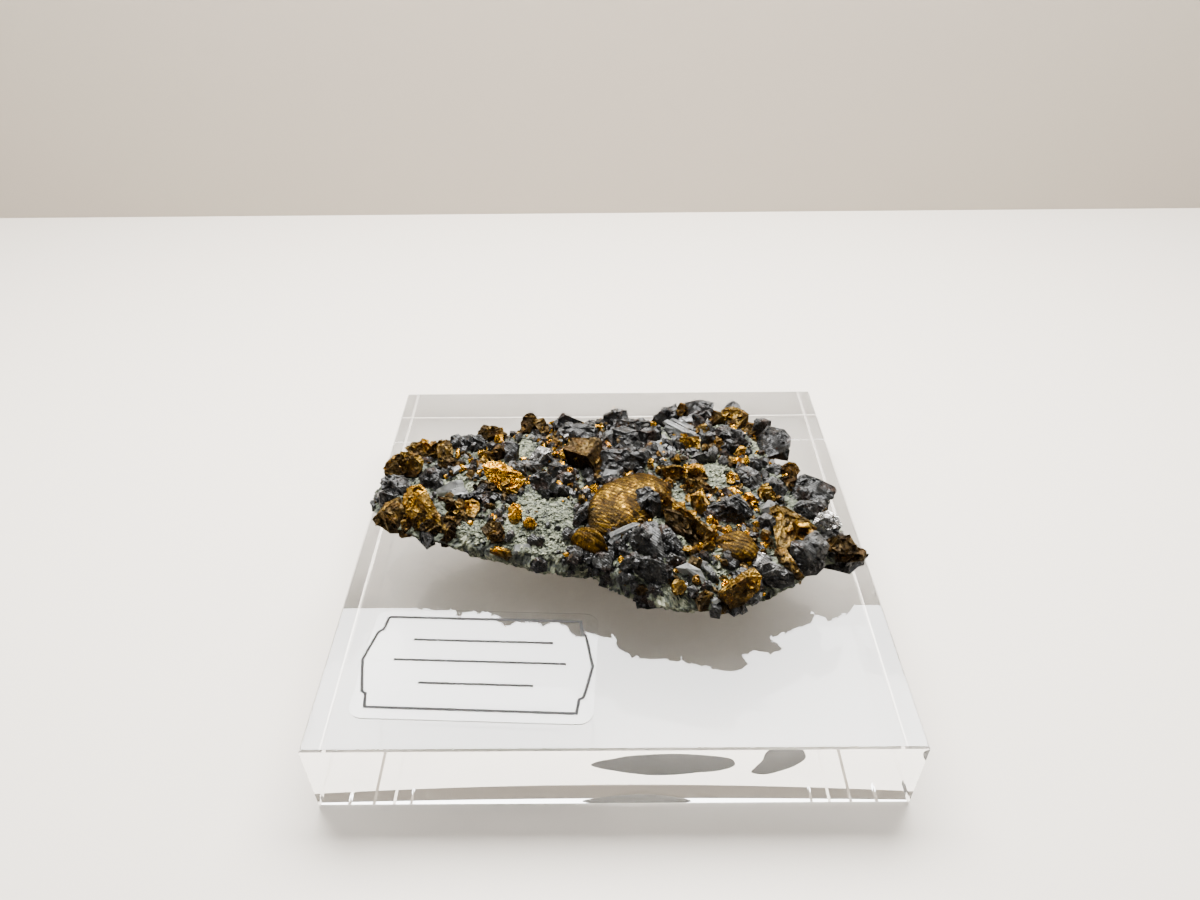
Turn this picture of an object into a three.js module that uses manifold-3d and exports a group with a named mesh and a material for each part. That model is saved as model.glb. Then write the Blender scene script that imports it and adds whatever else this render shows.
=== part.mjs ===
// A chalcopyrite specimen fixed with putty to a clear acrylic slab that carries a film label.
// Millimetres, +Z up. The origin is the centre of the slab's underside, and -Y is the front.

import * as THREE from 'three';
import { mergeVertices } from 'three/addons/utils/BufferGeometryUtils.js';
import Module from 'manifold-3d';

const wasm = await Module();
wasm.setup();

// ---- Driving dimensions ----

const slab = { side: 76.2, thickness: 12.3, arris: 0.25 };

const label = { width: 31, depth: 17.8, thickness: 0.15, corner: 2, x: -17.6, y: -25.2, turn: -2.4 };

// Each pad ends about 0.3 mm below the stone.
const padThickness = { adhesive_pad_left: 1.0, adhesive_pad_right: 1.5, adhesive_pad_back: 1.4 };
const padOutlines = {
  adhesive_pad_left: [
    [-3.7, -7.4], [1.2, -4.8], [8.2, -3.6], [16.5, -4.4], [18.6, -6.2], [17.2, -9.0], [7.9, -11.2], [1.1, -9.9],
  ],
  adhesive_pad_right: [
    [20.6, -10.2], [22.2, -6.4], [23.4, -2.6], [26.0, -0.6], [29.0, -1.4], [29.2, -4.8], [26.7, -8.4], [23.2, -10.6],
  ],
  adhesive_pad_back: [
    [-5.5, 14.2], [-1.0, 16.2], [4.5, 16.8], [10.5, 16.2], [14.3, 14.2], [10.0, 12.6], [4.0, 12.2], [-1.5, 12.8],
  ],
};

// The stone's edge in plan, anticlockwise. It is a little inside the crystals that stand out of it.
const stoneEdge = [
  [33.4, -4.0], [31.6, 0.5], [28.6, 5.0], [27.0, 10.0], [26.4, 15.0], [22.0, 19.6], [15.0, 20.6], [8.0, 19.5],
  [0.0, 19.0], [-8.0, 18.2], [-13.0, 17.0], [-18.0, 14.8], [-23.0, 12.4], [-29.0, 10.0], [-32.6, 7.0],
  [-34.4, 3.4], [-34.8, -1.0], [-34.0, -4.4], [-31.0, -7.2], [-25.0, -8.9], [-19.0, -10.8], [-13.0, -12.6],
  [-9.0, -13.4], [-3.0, -13.6], [-0.5, -15.6], [4.0, -18.4], [10.0, -20.4], [13.0, -20.8], [17.0, -19.8],
  [24.0, -16.8], [27.0, -13.6], [30.0, -12.0], [32.4, -10.6], [33.2, -8.0],
];

const stone = {
  topHeight: 21.0, // of the upper face, at the origin
  slope: -0.04, // the upper face's fall towards +X
  edgeDrop: 2.2, // the fall of the upper face at its edge
  underside: 13.5, // the lowest height of the underside, over the pads
  rimHeight: 15.0, // of the underside, at its edge
  rimLift: 0.165, // the rise of that edge for each millimetre past rimTurn, towards -X
  rimTurn: -8,
  steps: 44, // round the stone
};

const rootDepth = 0.5; // how far into the stone every crystal reaches

// One crystal a row: x, y and its centre's height above the stone, its length, width and height,
// and its turn about Z and dip of its long axis, in degrees.

const chalcopyrite = [
  [-29.0, 9.8, 0.9, 4.4, 3.6, 3.4, 20, -8],
  [-31.0, 7.4, 0.7, 3.6, 4.2, 3.6, 65, 5],
  [-33.0, 5.6, 0.5, 3.6, 3.4, 3.2, 40, 12],
  [-25.8, 8.1, 0.5, 2.6, 2.6, 2.6, 80, 0],
  [-26.4, 11.2, 0.6, 2.6, 1.9, 1.9, 10, 0],
  [-24.7, 5.1, 0.5, 3.8, 2.2, 1.9, -10, 8],
  [-19.0, 7.0, 0.5, 2.8, 1.8, 1.7, 0, 0],
  [-32.3, -5.8, 0.5, 3.9, 3.6, 3.4, 35, 10],
  [-28.3, -3.3, 1.1, 5.4, 4.2, 3.8, 75, 10],
  [-27.3, -6.1, 0.6, 3.8, 2.8, 2.6, 0, 5],
  [-29.2, -7.2, 0.0, 2.8, 1.7, 2.4, 70, 15],
  [-25.7, -7.6, 0.2, 3.2, 1.9, 1.8, 10, 0],
  [-22.5, -7.2, 0.2, 3.0, 2.4, 2.3, 30, 0],
  [-23.2, -3.8, 0.4, 3.0, 1.7, 1.6, -20, 0],
  [-20.0, -4.2, 0.5, 2.5, 2.4, 2.3, 70, 0],
  [-17.4, -8.0, 0.2, 2.8, 1.6, 1.7, -5, 0],
  [-16.2, -9.6, 0.2, 2.7, 2.0, 1.8, 20, 0],
  [-15.8, -11.0, -0.4, 2.8, 2.0, 1.9, -10, 0],
  [-19.4, 13.4, 0.9, 3.8, 2.4, 2.8, 0, 0],
  [-12.9, 15.7, 1.4, 3.4, 2.8, 3.4, 20, 0],
  [-11.2, 15.0, 1.0, 3.0, 3.0, 3.2, 70, 10],
  [-17.2, 7.8, 0.5, 2.2, 2.6, 2.4, 80, 0],
  [-16.0, 2.8, 1.0, 7.0, 2.4, 2.6, -22, 5],
  [-18.2, -0.5, 0.3, 3.2, 2.0, 1.9, 0, 0],
  [-15.2, -0.9, 0.5, 2.6, 2.1, 2.1, 60, 0],
  [-13.7, -5.7, 0.5, 2.1, 2.6, 2.5, 80, 0],
  [-4.0, 7.4, 0.9, 6.2, 4.6, 4.8, 4, 2],
  [3.0, -2.6, 0.2, 12.4, 10.4, 4.4, -12, 2],
  [-3.0, -9.8, 0.5, 5.2, 4.2, 4.0, -20, 8],
  [10.4, -12.6, 0.3, 2.6, 1.0, 1.0, 5, 0],
  [11.5, -6.7, 0.8, 9.0, 2.2, 2.8, -48, 5],
  [12.8, 11.2, 0.7, 3.8, 2.4, 2.2, -5, 0],
  [14.8, 18.2, 2.6, 4.8, 2.8, 4.6, 10, 0],
  [12.2, 18.8, 2.2, 2.0, 1.8, 3.6, 0, 0],
  [12.8, 4.5, 0.7, 3.6, 2.2, 2.0, 5, 0],
  [13.8, 2.6, 0.6, 2.5, 2.1, 2.0, -30, 0],
  [9.1, 3.6, 0.5, 3.2, 2.2, 2.5, 10, 0],
  [12.2, 0.7, 0.5, 2.5, 2.1, 2.0, 20, 0],
  [21.3, 17.8, 2.6, 3.0, 2.8, 5.6, 20, 0],
  [18.7, 17.5, 1.2, 2.8, 2.6, 4.6, 60, 0],
  [22.9, 17.5, 0.8, 6.4, 2.4, 2.6, -32, 8],
  [28.2, 6.2, 0.9, 3.2, 3.0, 3.2, 20, 0],
  [28.0, 2.9, 0.5, 3.2, 2.8, 2.6, 60, 0],
  [13.5, -3.1, 0.6, 3.0, 2.4, 2.2, 20, 0],
  [14.0, -0.2, 0.6, 2.8, 2.1, 2.0, -20, 0],
  [20.6, -2.2, 0.6, 2.6, 2.1, 2.0, -20, 0],
  [23.3, -0.7, 0.8, 2.7, 2.7, 2.7, 60, 0],
  [17.1, -11.8, 0.5, 6.4, 5.2, 2.6, -8, 3],
  [17.6, -17.0, 0.2, 5.2, 4.4, 4.2, -15, 5],
  [16.1, -18.6, -1.1, 2.6, 1.9, 1.8, 0, 0],
  [8.9, -17.3, -0.5, 2.5, 2.0, 2.0, 10, 0],
  [31.2, -1.9, 0.2, 3.2, 1.2, 1.2, -15, 0],
  [33.7, -11.0, 0.1, 5.0, 1.9, 1.9, 5, 5],
  [25.8, -8.4, 0.8, 8.6, 6.4, 4.8, -70, 6],
  [24.5, -12.8, 0.0, 4.0, 2.6, 3.4, -75, 0],
];

const sphalerite = [
  [-24.2, 11.8, 0.6, 2.8, 2.4, 2.3, 0, 0],
  [-21.8, 12.0, 0.6, 3.2, 2.2, 2.1, 0, 0],
  [-27.1, 1.7, 0.6, 3.7, 3.3, 3.2, 30, 0],
  [-32.2, 1.1, 0.5, 4.4, 2.3, 2.2, 0, 0],
  [-26.4, -8.4, -0.8, 4.4, 2.4, 2.4, -45, 0],
  [-19.5, -2.4, 0.2, 2.8, 1.4, 1.4, 0, 0],
  [-15.5, 7.9, 0.5, 3.0, 1.7, 2.0, 85, 0],
  [-7.2, 16.2, 1.0, 4.5, 2.8, 2.8, -5, 0],
  [-4.6, 13.6, 0.7, 5.8, 3.4, 2.2, 0, 0],
  [-12.5, 3.9, 0.5, 4.6, 1.9, 1.6, -5, 0],
  [-10.3, 1.0, 0.8, 4.6, 3.8, 3.4, 10, 0],
  [-8.1, 2.8, 0.7, 2.8, 2.4, 2.2, 0, 0],
  [-6.3, 0.8, 0.6, 2.6, 2.2, 2.2, 0, 0],
  [-7.2, -1.1, 0.4, 2.6, 1.5, 1.4, 0, 0],
  [-4.3, -5.8, 0.5, 3.2, 1.9, 2.2, 82, 0],
  [5.0, -5.6, 2.1, 4.4, 4.2, 3.2, -10, 0],
  [4.5, -11.8, 0.8, 5.4, 4.8, 4.6, 25, 0],
  [5.4, -14.8, 0.0, 4.3, 3.2, 3.2, 10, 0],
  [7.6, -10.6, 0.5, 3.8, 3.6, 3.6, 50, 0],
  [-1.4, -13.3, 0.2, 3.5, 2.4, 2.3, 0, 0],
  [6.3, -18.0, -0.9, 2.6, 2.4, 2.4, 60, 0],
  [1.2, 17.4, 1.7, 4.2, 3.0, 3.2, 0, 0],
  [3.2, 15.9, 0.9, 5.2, 2.6, 2.2, 0, 0],
  [5.4, 16.2, 0.9, 2.9, 2.2, 2.0, -20, 0],
  [2.1, 12.7, 0.7, 5.6, 3.2, 2.6, 0, 0],
  [6.3, 12.6, 0.7, 3.9, 2.6, 2.4, 20, 0],
  [2.0, 7.2, 0.8, 6.4, 3.4, 2.9, -3, 0],
  [2.6, 4.2, 0.5, 5.0, 2.2, 1.9, 0, 0],
  [9.2, 17.8, 1.5, 4.4, 3.6, 3.8, 30, 0],
  [14.8, 18.6, 0.9, 2.3, 1.5, 1.8, 0, 0],
  [27.0, 15.0, 1.0, 5.6, 4.2, 4.2, 10, 0],
  [25.4, 17.2, 1.4, 3.2, 2.0, 2.6, -15, 0],
  [27.3, 12.0, 0.5, 3.8, 2.2, 2.1, -20, 0],
  [19.6, 13.9, 0.7, 4.8, 2.6, 2.4, -5, 0],
  [19.3, 11.5, 0.5, 2.5, 1.8, 1.7, 0, 0],
  [21.2, 3.3, 0.6, 3.9, 2.7, 2.5, -10, 0],
  [25.9, 6.4, 0.5, 2.5, 1.8, 1.7, 0, 0],
  [25.1, 2.6, 0.5, 2.7, 1.8, 1.7, -10, 0],
  [16.2, 8.9, 0.5, 2.9, 1.5, 1.6, 75, 0],
  [16.8, -3.6, 0.5, 4.6, 1.8, 1.7, -5, 0],
  [16.7, -5.7, 0.3, 4.6, 2.0, 1.9, 0, 0],
  [22.3, -6.9, 0.5, 2.6, 2.4, 2.2, 0, 0],
  [21.9, -16.6, -0.5, 3.4, 2.4, 2.3, 0, 0],
  [22.0, -15.3, 0.0, 3.8, 2.2, 2.1, 0, 0],
  [31.2, 2.4, 0.8, 5.4, 3.4, 3.4, -10, 0],
  [30.8, -0.2, 0.2, 4.4, 1.8, 1.7, -5, 0],
  [29.0, -2.0, 0.4, 4.7, 2.4, 2.2, -8, 0],
  [33.0, -9.0, 0.4, 4.4, 3.2, 3.1, -20, 0],
  [31.8, -12.4, -0.2, 3.4, 2.2, 2.1, -10, 0],
  [29.3, -10.9, 0.6, 5.2, 2.6, 2.8, -75, 0],
  [27.2, -12.6, 0.2, 5.2, 4.4, 4.3, 30, 0],
  [-10.0, -12.4, -1.0, 2.9, 2.2, 2.3, 0, 0],
  [-10.6, -10.5, 0.1, 2.6, 1.4, 1.3, 0, 0],
  [-10.3, 6.2, 0.7, 3.5, 2.8, 2.5, 20, 0],
  [21.0, -13.8, 0.5, 4.0, 3.0, 2.6, -10, 0],
  [31.3, -4.9, 0.5, 3.8, 3.2, 2.8, 0, 0],
];

const quartz = [
  [-22.2, 4.1, 0.5, 4.4, 1.2, 1.2, 25, 0],
  [-23.2, -0.1, 0.2, 3.2, 2.4, 1.8, 0, 0],
  [-22.3, -1.7, 0.2, 2.8, 2.2, 1.7, 30, 0],
  [-11.0, 11.4, 0.5, 2.6, 1.1, 1.1, -70, 0],
  [2.0, -10.0, 1.0, 5.4, 1.6, 1.7, 39, 0],
  [0.2, 2.4, 0.7, 2.5, 1.8, 1.7, -10, 0],
  [12.4, -14.7, 0.2, 3.8, 1.1, 1.1, -55, 0],
  [11.7, 15.0, 0.8, 7.0, 2.0, 2.0, -38, 0],
  [9.2, 10.6, 0.5, 5.0, 1.3, 1.3, -80, 0],
  [8.1, 9.6, 0.4, 3.6, 1.1, 1.1, -75, 0],
  [12.7, 18.2, 0.8, 2.9, 2.2, 2.0, 0, 0],
  [23.2, -3.4, 0.5, 2.6, 1.9, 1.8, 70, 0],
  [-12.4, -11.2, -0.4, 2.8, 1.8, 1.5, 0, 0],
];

// ---- Small tools ----

const degrees = Math.PI / 180;

function meshFromSolid(name, solid, material) {
  const { numProp, vertProperties, triVerts } = solid.getMesh();
  const geometry = new THREE.BufferGeometry();
  const positions = new Float32Array((vertProperties.length / numProp) * 3);
  for (let i = 0; i < positions.length / 3; i++) {
    positions.set(vertProperties.subarray(i * numProp, i * numProp + 3), i * 3);
  }
  geometry.setAttribute('position', new THREE.BufferAttribute(positions, 3));
  geometry.setIndex(new THREE.BufferAttribute(new Uint32Array(triVerts), 1));
  geometry.computeVertexNormals();
  return namedMesh(name, geometry, material);
}

function namedMesh(name, geometry, material) {
  const mesh = new THREE.Mesh(geometry, material);
  mesh.name = name;
  return mesh;
}

function solidFromFaces(vertices, triangles) {
  return new wasm.Manifold(new wasm.Mesh({
    numProp: 3,
    vertProperties: new Float32Array(vertices.flat()),
    triVerts: new Uint32Array(triangles.flat()),
  }));
}

// A number from 0 to 1 that is always the same for the same crystal and step.
function scatter(seed, step) {
  const wave = Math.sin(seed * 12.9898 + step * 78.233) * 43758.5453;
  return wave - Math.floor(wave);
}

// ---- The stone ----

const edgePoints = stoneEdge
  .map(([x, y]) => ({ angle: (Math.atan2(y, x) + 2 * Math.PI) % (2 * Math.PI), radius: Math.hypot(x, y) }))
  .sort((a, b) => a.angle - b.angle);

// The stone's radius at an angle, straight between the neighbouring points of its edge.
function edgeRadius(angle) {
  const count = edgePoints.length;
  let after = edgePoints.findIndex((point) => point.angle > angle);
  if (after < 0) after = 0;
  const a = edgePoints[(after + count - 1) % count];
  const b = edgePoints[after];
  const span = (b.angle - a.angle + 2 * Math.PI) % (2 * Math.PI);
  const part = ((angle - a.angle + 2 * Math.PI) % (2 * Math.PI)) / span;
  return a.radius + (b.radius - a.radius) * part;
}

function shareOfRadius(x, y) {
  const angle = (Math.atan2(y, x) + 2 * Math.PI) % (2 * Math.PI);
  return Math.hypot(x, y) / edgeRadius(angle);
}

// The plain upper face, which the crystals are measured from: it slopes and drops at its edge.
function stoneTop(x, y) {
  const share = Math.min(shareOfRadius(x, y), 1);
  return stone.topHeight + stone.slope * x - stone.edgeDrop * share ** 3;
}

function stoneUnderside(x, y) {
  const share = Math.min(shareOfRadius(x, y), 1);
  const rim = stone.rimHeight + stone.rimLift * Math.max(stone.rimTurn - x, 0);
  return stone.underside + (rim - stone.underside) * share ** 2.4;
}

// Lumps and hollows: three crossed waves, up to about 0.7 mm.
function lumps(x, y) {
  return 0.3 * Math.sin(0.9 * x + 0.5 * y) + 0.25 * Math.sin(1.1 * y - 0.7 * x + 1.3)
    + 0.15 * Math.sin(1.9 * x + 2.3) * Math.sin(1.7 * y);
}

// The stone as rings of points from the middle of its upper face, over the edge, to the middle
// of its underside. A ring is its share of the radius and how far down the side it lies.
function stoneSolid() {
  const rings = [
    [0.2, 0], [0.38, 0], [0.55, 0], [0.71, 0], [0.85, 0], [0.95, 0.05],
    [1.0, 0.35], [0.96, 0.75], [0.86, 1], [0.5, 1],
  ];
  const point = (share, down, angle) => {
    const wobble = 1 + 0.012 * Math.sin(7 * angle + 9 * down) + 0.01 * Math.sin(17 * angle - 5 * down);
    const radius = edgeRadius(angle) * share * (share > 0.9 ? wobble : 1);
    const x = radius * Math.cos(angle);
    const y = radius * Math.sin(angle);
    const top = stoneTop(x, y) + lumps(x, y);
    const bottom = stoneUnderside(x, y) + (share > 0.8 ? 0.35 * (1 + Math.sin(x + 1.3 * y)) : 0);
    return [x, y, top + (bottom - top) * down];
  };
  const vertices = [[0, 0, stoneTop(0, 0) + lumps(0, 0)]];
  for (const [share, down] of rings) {
    for (let i = 0; i < stone.steps; i++) vertices.push(point(share, down, (2 * Math.PI * i) / stone.steps));
  }
  vertices.push([0, 0, stone.underside]);
  const triangles = [];
  const last = vertices.length - 1;
  for (let i = 0; i < stone.steps; i++) {
    const j = (i + 1) % stone.steps;
    triangles.push([0, 1 + i, 1 + j]);
    for (let ring = 0; ring < rings.length - 1; ring++) {
      const inner = 1 + ring * stone.steps;
      const outer = inner + stone.steps;
      triangles.push([inner + i, outer + i, outer + j], [inner + i, outer + j, inner + j]);
    }
    const end = 1 + (rings.length - 1) * stone.steps;
    triangles.push([last, end + j, end + i]);
  }
  return solidFromFaces(vertices, triangles);
}

// ---- The crystals ----

// A form is its faces, each a direction and a distance from the middle.
const forms = {
  wedge: [
    [1, 1, 1, 0.6], [-1, -1, 1, 0.62], [-1, 1, -1, 0.6], [1, -1, -1, 0.62],
    [-1, -1, -1, 0.85], [1, 1, -1, 0.88], [1, -1, 1, 0.82], [-1, 1, 1, 0.86], [0, 0.1, 1, 0.72],
  ],
  block: [
    [1, 1, 1, 0.86], [-1, -1, 1, 0.8], [-1, 1, 0.9, 0.9], [1, -1, 0.9, 0.82], [0, -1, 0.3, 0.8],
    [1, 0.1, -0.2, 0.85], [-1, 0, -0.1, 0.85], [0, 1, -0.1, 0.85], [0, 0, -1, 0.8], [0.1, 0, 1, 0.75],
  ],
  prism: [
    [0, 1, 0, 1], [0, 0.5, 0.87, 1], [0, -0.5, 0.87, 1], [0, -1, 0, 1], [0, -0.5, -0.87, 1], [0, 0.5, -0.87, 1],
    [0.75, 0, 0.65, 2.4], [0.75, 0.6, -0.3, 2.5], [0.75, -0.6, -0.3, 2.4], [-0.8, 0, 0.6, 2.4], [-0.8, 0.2, -0.5, 2.4],
  ],
  slab: [
    [0.05, 0, 1, 0.5], [0, 0, -1, 0.5], [1, 0.3, 0.35, 1], [0.4, 1, -0.3, 1], [-0.5, 1, 0.3, 1],
    [-1, 0.1, -0.3, 1], [-0.5, -1, 0.3, 1], [0.5, -1, -0.35, 1], [0.9, -0.5, 0.3, 1],
  ],
};

// Planes of a form, each turned and moved a little for this crystal.
function crystalPlanes(form, seed) {
  return forms[form].map(([x, y, z, distance], face) => {
    const normal = new THREE.Vector3(
      x + 0.3 * (scatter(seed, 4 * face) - 0.5),
      y + 0.3 * (scatter(seed, 4 * face + 1) - 0.5),
      z + 0.3 * (scatter(seed, 4 * face + 2) - 0.5),
    ).normalize();
    return { normal, distance: distance * (1 + 0.16 * (scatter(seed, 4 * face + 3) - 0.5)) };
  });
}

// The corners where three planes meet inside all the others, and the faces between them.
function polyhedron(planes) {
  const corners = [];
  const cross = new THREE.Vector3();
  for (let a = 0; a < planes.length; a++) {
    for (let b = a + 1; b < planes.length; b++) {
      for (let c = b + 1; c < planes.length; c++) {
        const [p, q, r] = [planes[a], planes[b], planes[c]];
        const volume = cross.crossVectors(q.normal, r.normal).dot(p.normal);
        if (Math.abs(volume) < 1e-6) continue;
        const point = new THREE.Vector3().addScaledVector(cross, p.distance);
        point.addScaledVector(cross.crossVectors(r.normal, p.normal), q.distance);
        point.addScaledVector(cross.crossVectors(p.normal, q.normal), r.distance).divideScalar(volume);
        const outside = planes.some((plane) => plane.normal.dot(point) > plane.distance + 1e-7);
        if (!outside) corners.push({ point, on: [a, b, c] });
      }
    }
  }
  const triangles = [];
  planes.forEach(({ normal }, face) => {
    const around = corners.map((corner, index) => ({ index, ...corner })).filter(({ on }) => on.includes(face));
    if (around.length < 3) return;
    const middle = new THREE.Vector3();
    around.forEach(({ point }) => middle.addScaledVector(point, 1 / around.length));
    const side = new THREE.Vector3().subVectors(around[0].point, middle).normalize();
    const other = new THREE.Vector3().crossVectors(normal, side);
    const bearing = ({ point }) => {
      const away = new THREE.Vector3().subVectors(point, middle);
      return Math.atan2(away.dot(other), away.dot(side));
    };
    around.sort((m, n) => bearing(m) - bearing(n));
    for (let i = 1; i < around.length - 1; i++) {
      triangles.push([around[0].index, around[i].index, around[i + 1].index]);
    }
  });
  return { points: corners.map(({ point }) => point), triangles };
}

// One crystal, stretched to its box, turned, and set at its height above the stone. One that would
// stand clear of the stone is grown down into it.
function crystalSolid(form, [x, y, rise, length, width, height, turn, dip], seed) {
  const foot = rise - height / 2;
  const growth = Math.max(foot + rootDepth - lumps(x, y), 0);
  const { points, triangles } = polyhedron(crystalPlanes(form, seed));
  const box = new THREE.Box3().setFromPoints(points);
  const size = box.getSize(new THREE.Vector3());
  const centre = box.getCenter(new THREE.Vector3());
  const rotation = new THREE.Euler(0, dip * degrees, turn * degrees, 'ZYX');
  const place = new THREE.Vector3(x, y, stoneTop(x, y) + rise - growth / 2);
  const vertices = points.map((point) => point.clone().sub(centre)
    .multiply(new THREE.Vector3(length / size.x, width / size.y, (height + growth) / size.z))
    .applyEuler(rotation).add(place).toArray());
  return solidFromFaces(vertices, triangles);
}

function specimen() {
  const largest = (row) => Math.max(row[3], row[4]);
  const formOf = {
    chalcopyrite: (row) => (largest(row) > 2 * row[5] ? 'slab' : 'wedge'),
    sphalerite: () => 'block',
    quartz: () => 'prism',
  };
  const solids = [stoneSolid()];
  Object.entries({ chalcopyrite, sphalerite, quartz }).forEach(([kind, rows], group) => {
    rows.forEach((row, index) => solids.push(crystalSolid(formOf[kind](row), row, 100 * group + index + 1)));
  });
  return wasm.Manifold.union(solids);
}

// ---- The slab, its label and the pads ----

function slabGeometry() {
  const half = slab.side / 2 - slab.arris;
  const square = new THREE.Shape([[-half, -half], [half, -half], [half, half], [-half, half]]
    .map(([x, y]) => new THREE.Vector2(x, y)));
  const geometry = new THREE.ExtrudeGeometry(square, {
    depth: slab.thickness - 2 * slab.arris,
    bevelEnabled: true, bevelThickness: slab.arris, bevelSize: slab.arris, bevelSegments: 1,
  });
  return geometry.translate(0, 0, slab.arris);
}

function labelGeometry() {
  const { width, depth, corner } = label;
  const shape = new THREE.Shape();
  shape.moveTo(-width / 2 + corner, -depth / 2);
  shape.lineTo(width / 2 - corner, -depth / 2);
  shape.absarc(width / 2 - corner, -depth / 2 + corner, corner, -Math.PI / 2, 0);
  shape.lineTo(width / 2, depth / 2 - corner);
  shape.absarc(width / 2 - corner, depth / 2 - corner, corner, 0, Math.PI / 2);
  shape.lineTo(-width / 2 + corner, depth / 2);
  shape.absarc(-width / 2 + corner, depth / 2 - corner, corner, Math.PI / 2, Math.PI);
  shape.lineTo(-width / 2, -depth / 2 + corner);
  shape.absarc(-width / 2 + corner, -depth / 2 + corner, corner, Math.PI, 1.5 * Math.PI);
  return new THREE.ExtrudeGeometry(shape, { depth: label.thickness, bevelEnabled: false, curveSegments: 5 });
}

function padGeometry(points, thickness) {
  const curve = new THREE.CatmullRomCurve3(points.map(([x, y]) => new THREE.Vector3(x, y, 0)), true);
  const outline = curve.getPoints(3 * points.length).slice(0, -1).map(({ x, y }) => new THREE.Vector2(x, y));
  return new THREE.ExtrudeGeometry(new THREE.Shape(outline), { depth: thickness, bevelEnabled: false });
}

// ---- The assembly ----

const materials = {
  acrylic: new THREE.MeshStandardMaterial({ color: 0xe9eceb, roughness: 0.05, metalness: 0 }),
  film: new THREE.MeshStandardMaterial({ color: 0xe6e4e0, roughness: 0.25, metalness: 0 }),
  putty: new THREE.MeshStandardMaterial({ color: 0x9a9a98, roughness: 0.7, metalness: 0 }),
  mineral: new THREE.MeshStandardMaterial({ color: 0x8a6f3a, roughness: 0.4, metalness: 0.6 }),
};

const chalcopyriteSpecimen = new THREE.Group();

chalcopyriteSpecimen.add(namedMesh('acrylic_slab', slabGeometry(), materials.acrylic));

const labelMesh = namedMesh('label', labelGeometry(), materials.film);
labelMesh.position.set(label.x, label.y, slab.thickness);
labelMesh.rotation.z = label.turn * degrees;
chalcopyriteSpecimen.add(labelMesh);

for (const [name, points] of Object.entries(padOutlines)) {
  const mesh = namedMesh(name, padGeometry(points, padThickness[name]), materials.putty);
  mesh.position.z = slab.thickness;
  chalcopyriteSpecimen.add(mesh);
}

chalcopyriteSpecimen.add(meshFromSolid('specimen', specimen(), materials.mineral));

for (const mesh of chalcopyriteSpecimen.children) {
  mesh.geometry.deleteAttribute('normal');
  mesh.geometry.deleteAttribute('uv');
  mesh.geometry = mergeVertices(mesh.geometry, 1e-4);
}

export default chalcopyriteSpecimen;
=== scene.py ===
import math
from itertools import combinations

import bmesh
import bpy
import numpy as np
from mathutils import Matrix


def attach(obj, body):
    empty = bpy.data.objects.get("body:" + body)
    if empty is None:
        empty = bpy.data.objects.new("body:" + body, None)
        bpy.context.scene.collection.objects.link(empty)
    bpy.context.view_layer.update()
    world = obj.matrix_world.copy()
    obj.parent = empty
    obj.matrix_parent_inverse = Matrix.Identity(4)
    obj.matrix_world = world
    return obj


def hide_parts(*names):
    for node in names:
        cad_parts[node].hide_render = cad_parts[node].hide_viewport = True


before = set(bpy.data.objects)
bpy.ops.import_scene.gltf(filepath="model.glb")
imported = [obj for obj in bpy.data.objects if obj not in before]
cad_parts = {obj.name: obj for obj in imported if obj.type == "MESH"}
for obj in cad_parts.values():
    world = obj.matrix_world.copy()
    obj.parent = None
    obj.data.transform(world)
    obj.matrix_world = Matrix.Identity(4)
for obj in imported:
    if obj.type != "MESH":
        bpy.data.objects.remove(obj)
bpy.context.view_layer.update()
metre = 0.001  # every length below is in millimetres, so this times it is in metres
print("frame loaded")

# The camera: focal length and picture size in pixels, sensor and place in millimetres, angles in radians.
# Yaw turns it about Z, pitch tips it down, roll leans it. Nearest and farthest are in metres.
view = {
    "focal": 857.3, "imageWidth": 1200, "imageHeight": 900, "sensor": 36, "place": (-0.99, -97.01, 104.32),
    "yaw": -0.0051, "pitch": 0.665, "roll": -0.0105, "nearest": 0.005, "farthest": 20,
}


def cameraAxes():
    # the camera's right, up and ahead
    yaw, pitch, roll = view["yaw"], view["pitch"], view["roll"]
    ahead = np.array([math.sin(yaw) * math.cos(pitch), math.cos(yaw) * math.cos(pitch), -math.sin(pitch)])
    right = np.array([math.cos(yaw), -math.sin(yaw), 0])
    up = np.cross(right, ahead)
    return math.cos(roll) * right + math.sin(roll) * up, math.cos(roll) * up - math.sin(roll) * right, ahead


def addCamera():
    data = bpy.data.cameras.new("camera")
    data.sensor_width = view["sensor"]
    data.lens = view["focal"] / view["imageWidth"] * view["sensor"]
    data.clip_start, data.clip_end = view["nearest"], view["farthest"]
    right, up, ahead = cameraAxes()
    camera = bpy.data.objects.new("camera", data)
    matrix = np.eye(4)
    matrix[:3, 0], matrix[:3, 1], matrix[:3, 2] = right, up, -ahead
    matrix[:3, 3] = np.array(view["place"]) * metre
    camera.matrix_world = Matrix(matrix.tolist())
    bpy.context.scene.collection.objects.link(camera)
    bpy.context.scene.camera = camera


addCamera()
print("camera set")


def smoothStep(low, high, value):
    # 3t^2 - 2t^3, where t is the share of the way from low to high
    t = np.clip((value - low) / (high - low), 0, 1)
    return t * t * (3 - 2 * t)


def cellNumber(cells, seed):
    # 0 to 1 for each whole-number cell: its coordinates times large odd numbers, mixed by shifts
    c = cells.astype(np.int64).astype(np.uint32)
    x, y, z = c[..., 0], c[..., 1], c[..., 2]
    n = x * np.uint32(2654435761) ^ y * np.uint32(2246822519) ^ z * np.uint32(3266489917)
    n = n ^ np.uint32(seed * 668265263 % 2**32)
    n = (n ^ (n >> np.uint32(15))) * np.uint32(739982445)
    n = (n ^ (n >> np.uint32(12))) * np.uint32(695872825)
    n = n ^ (n >> np.uint32(15))
    return n.astype(np.float64) / 2**32


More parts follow.
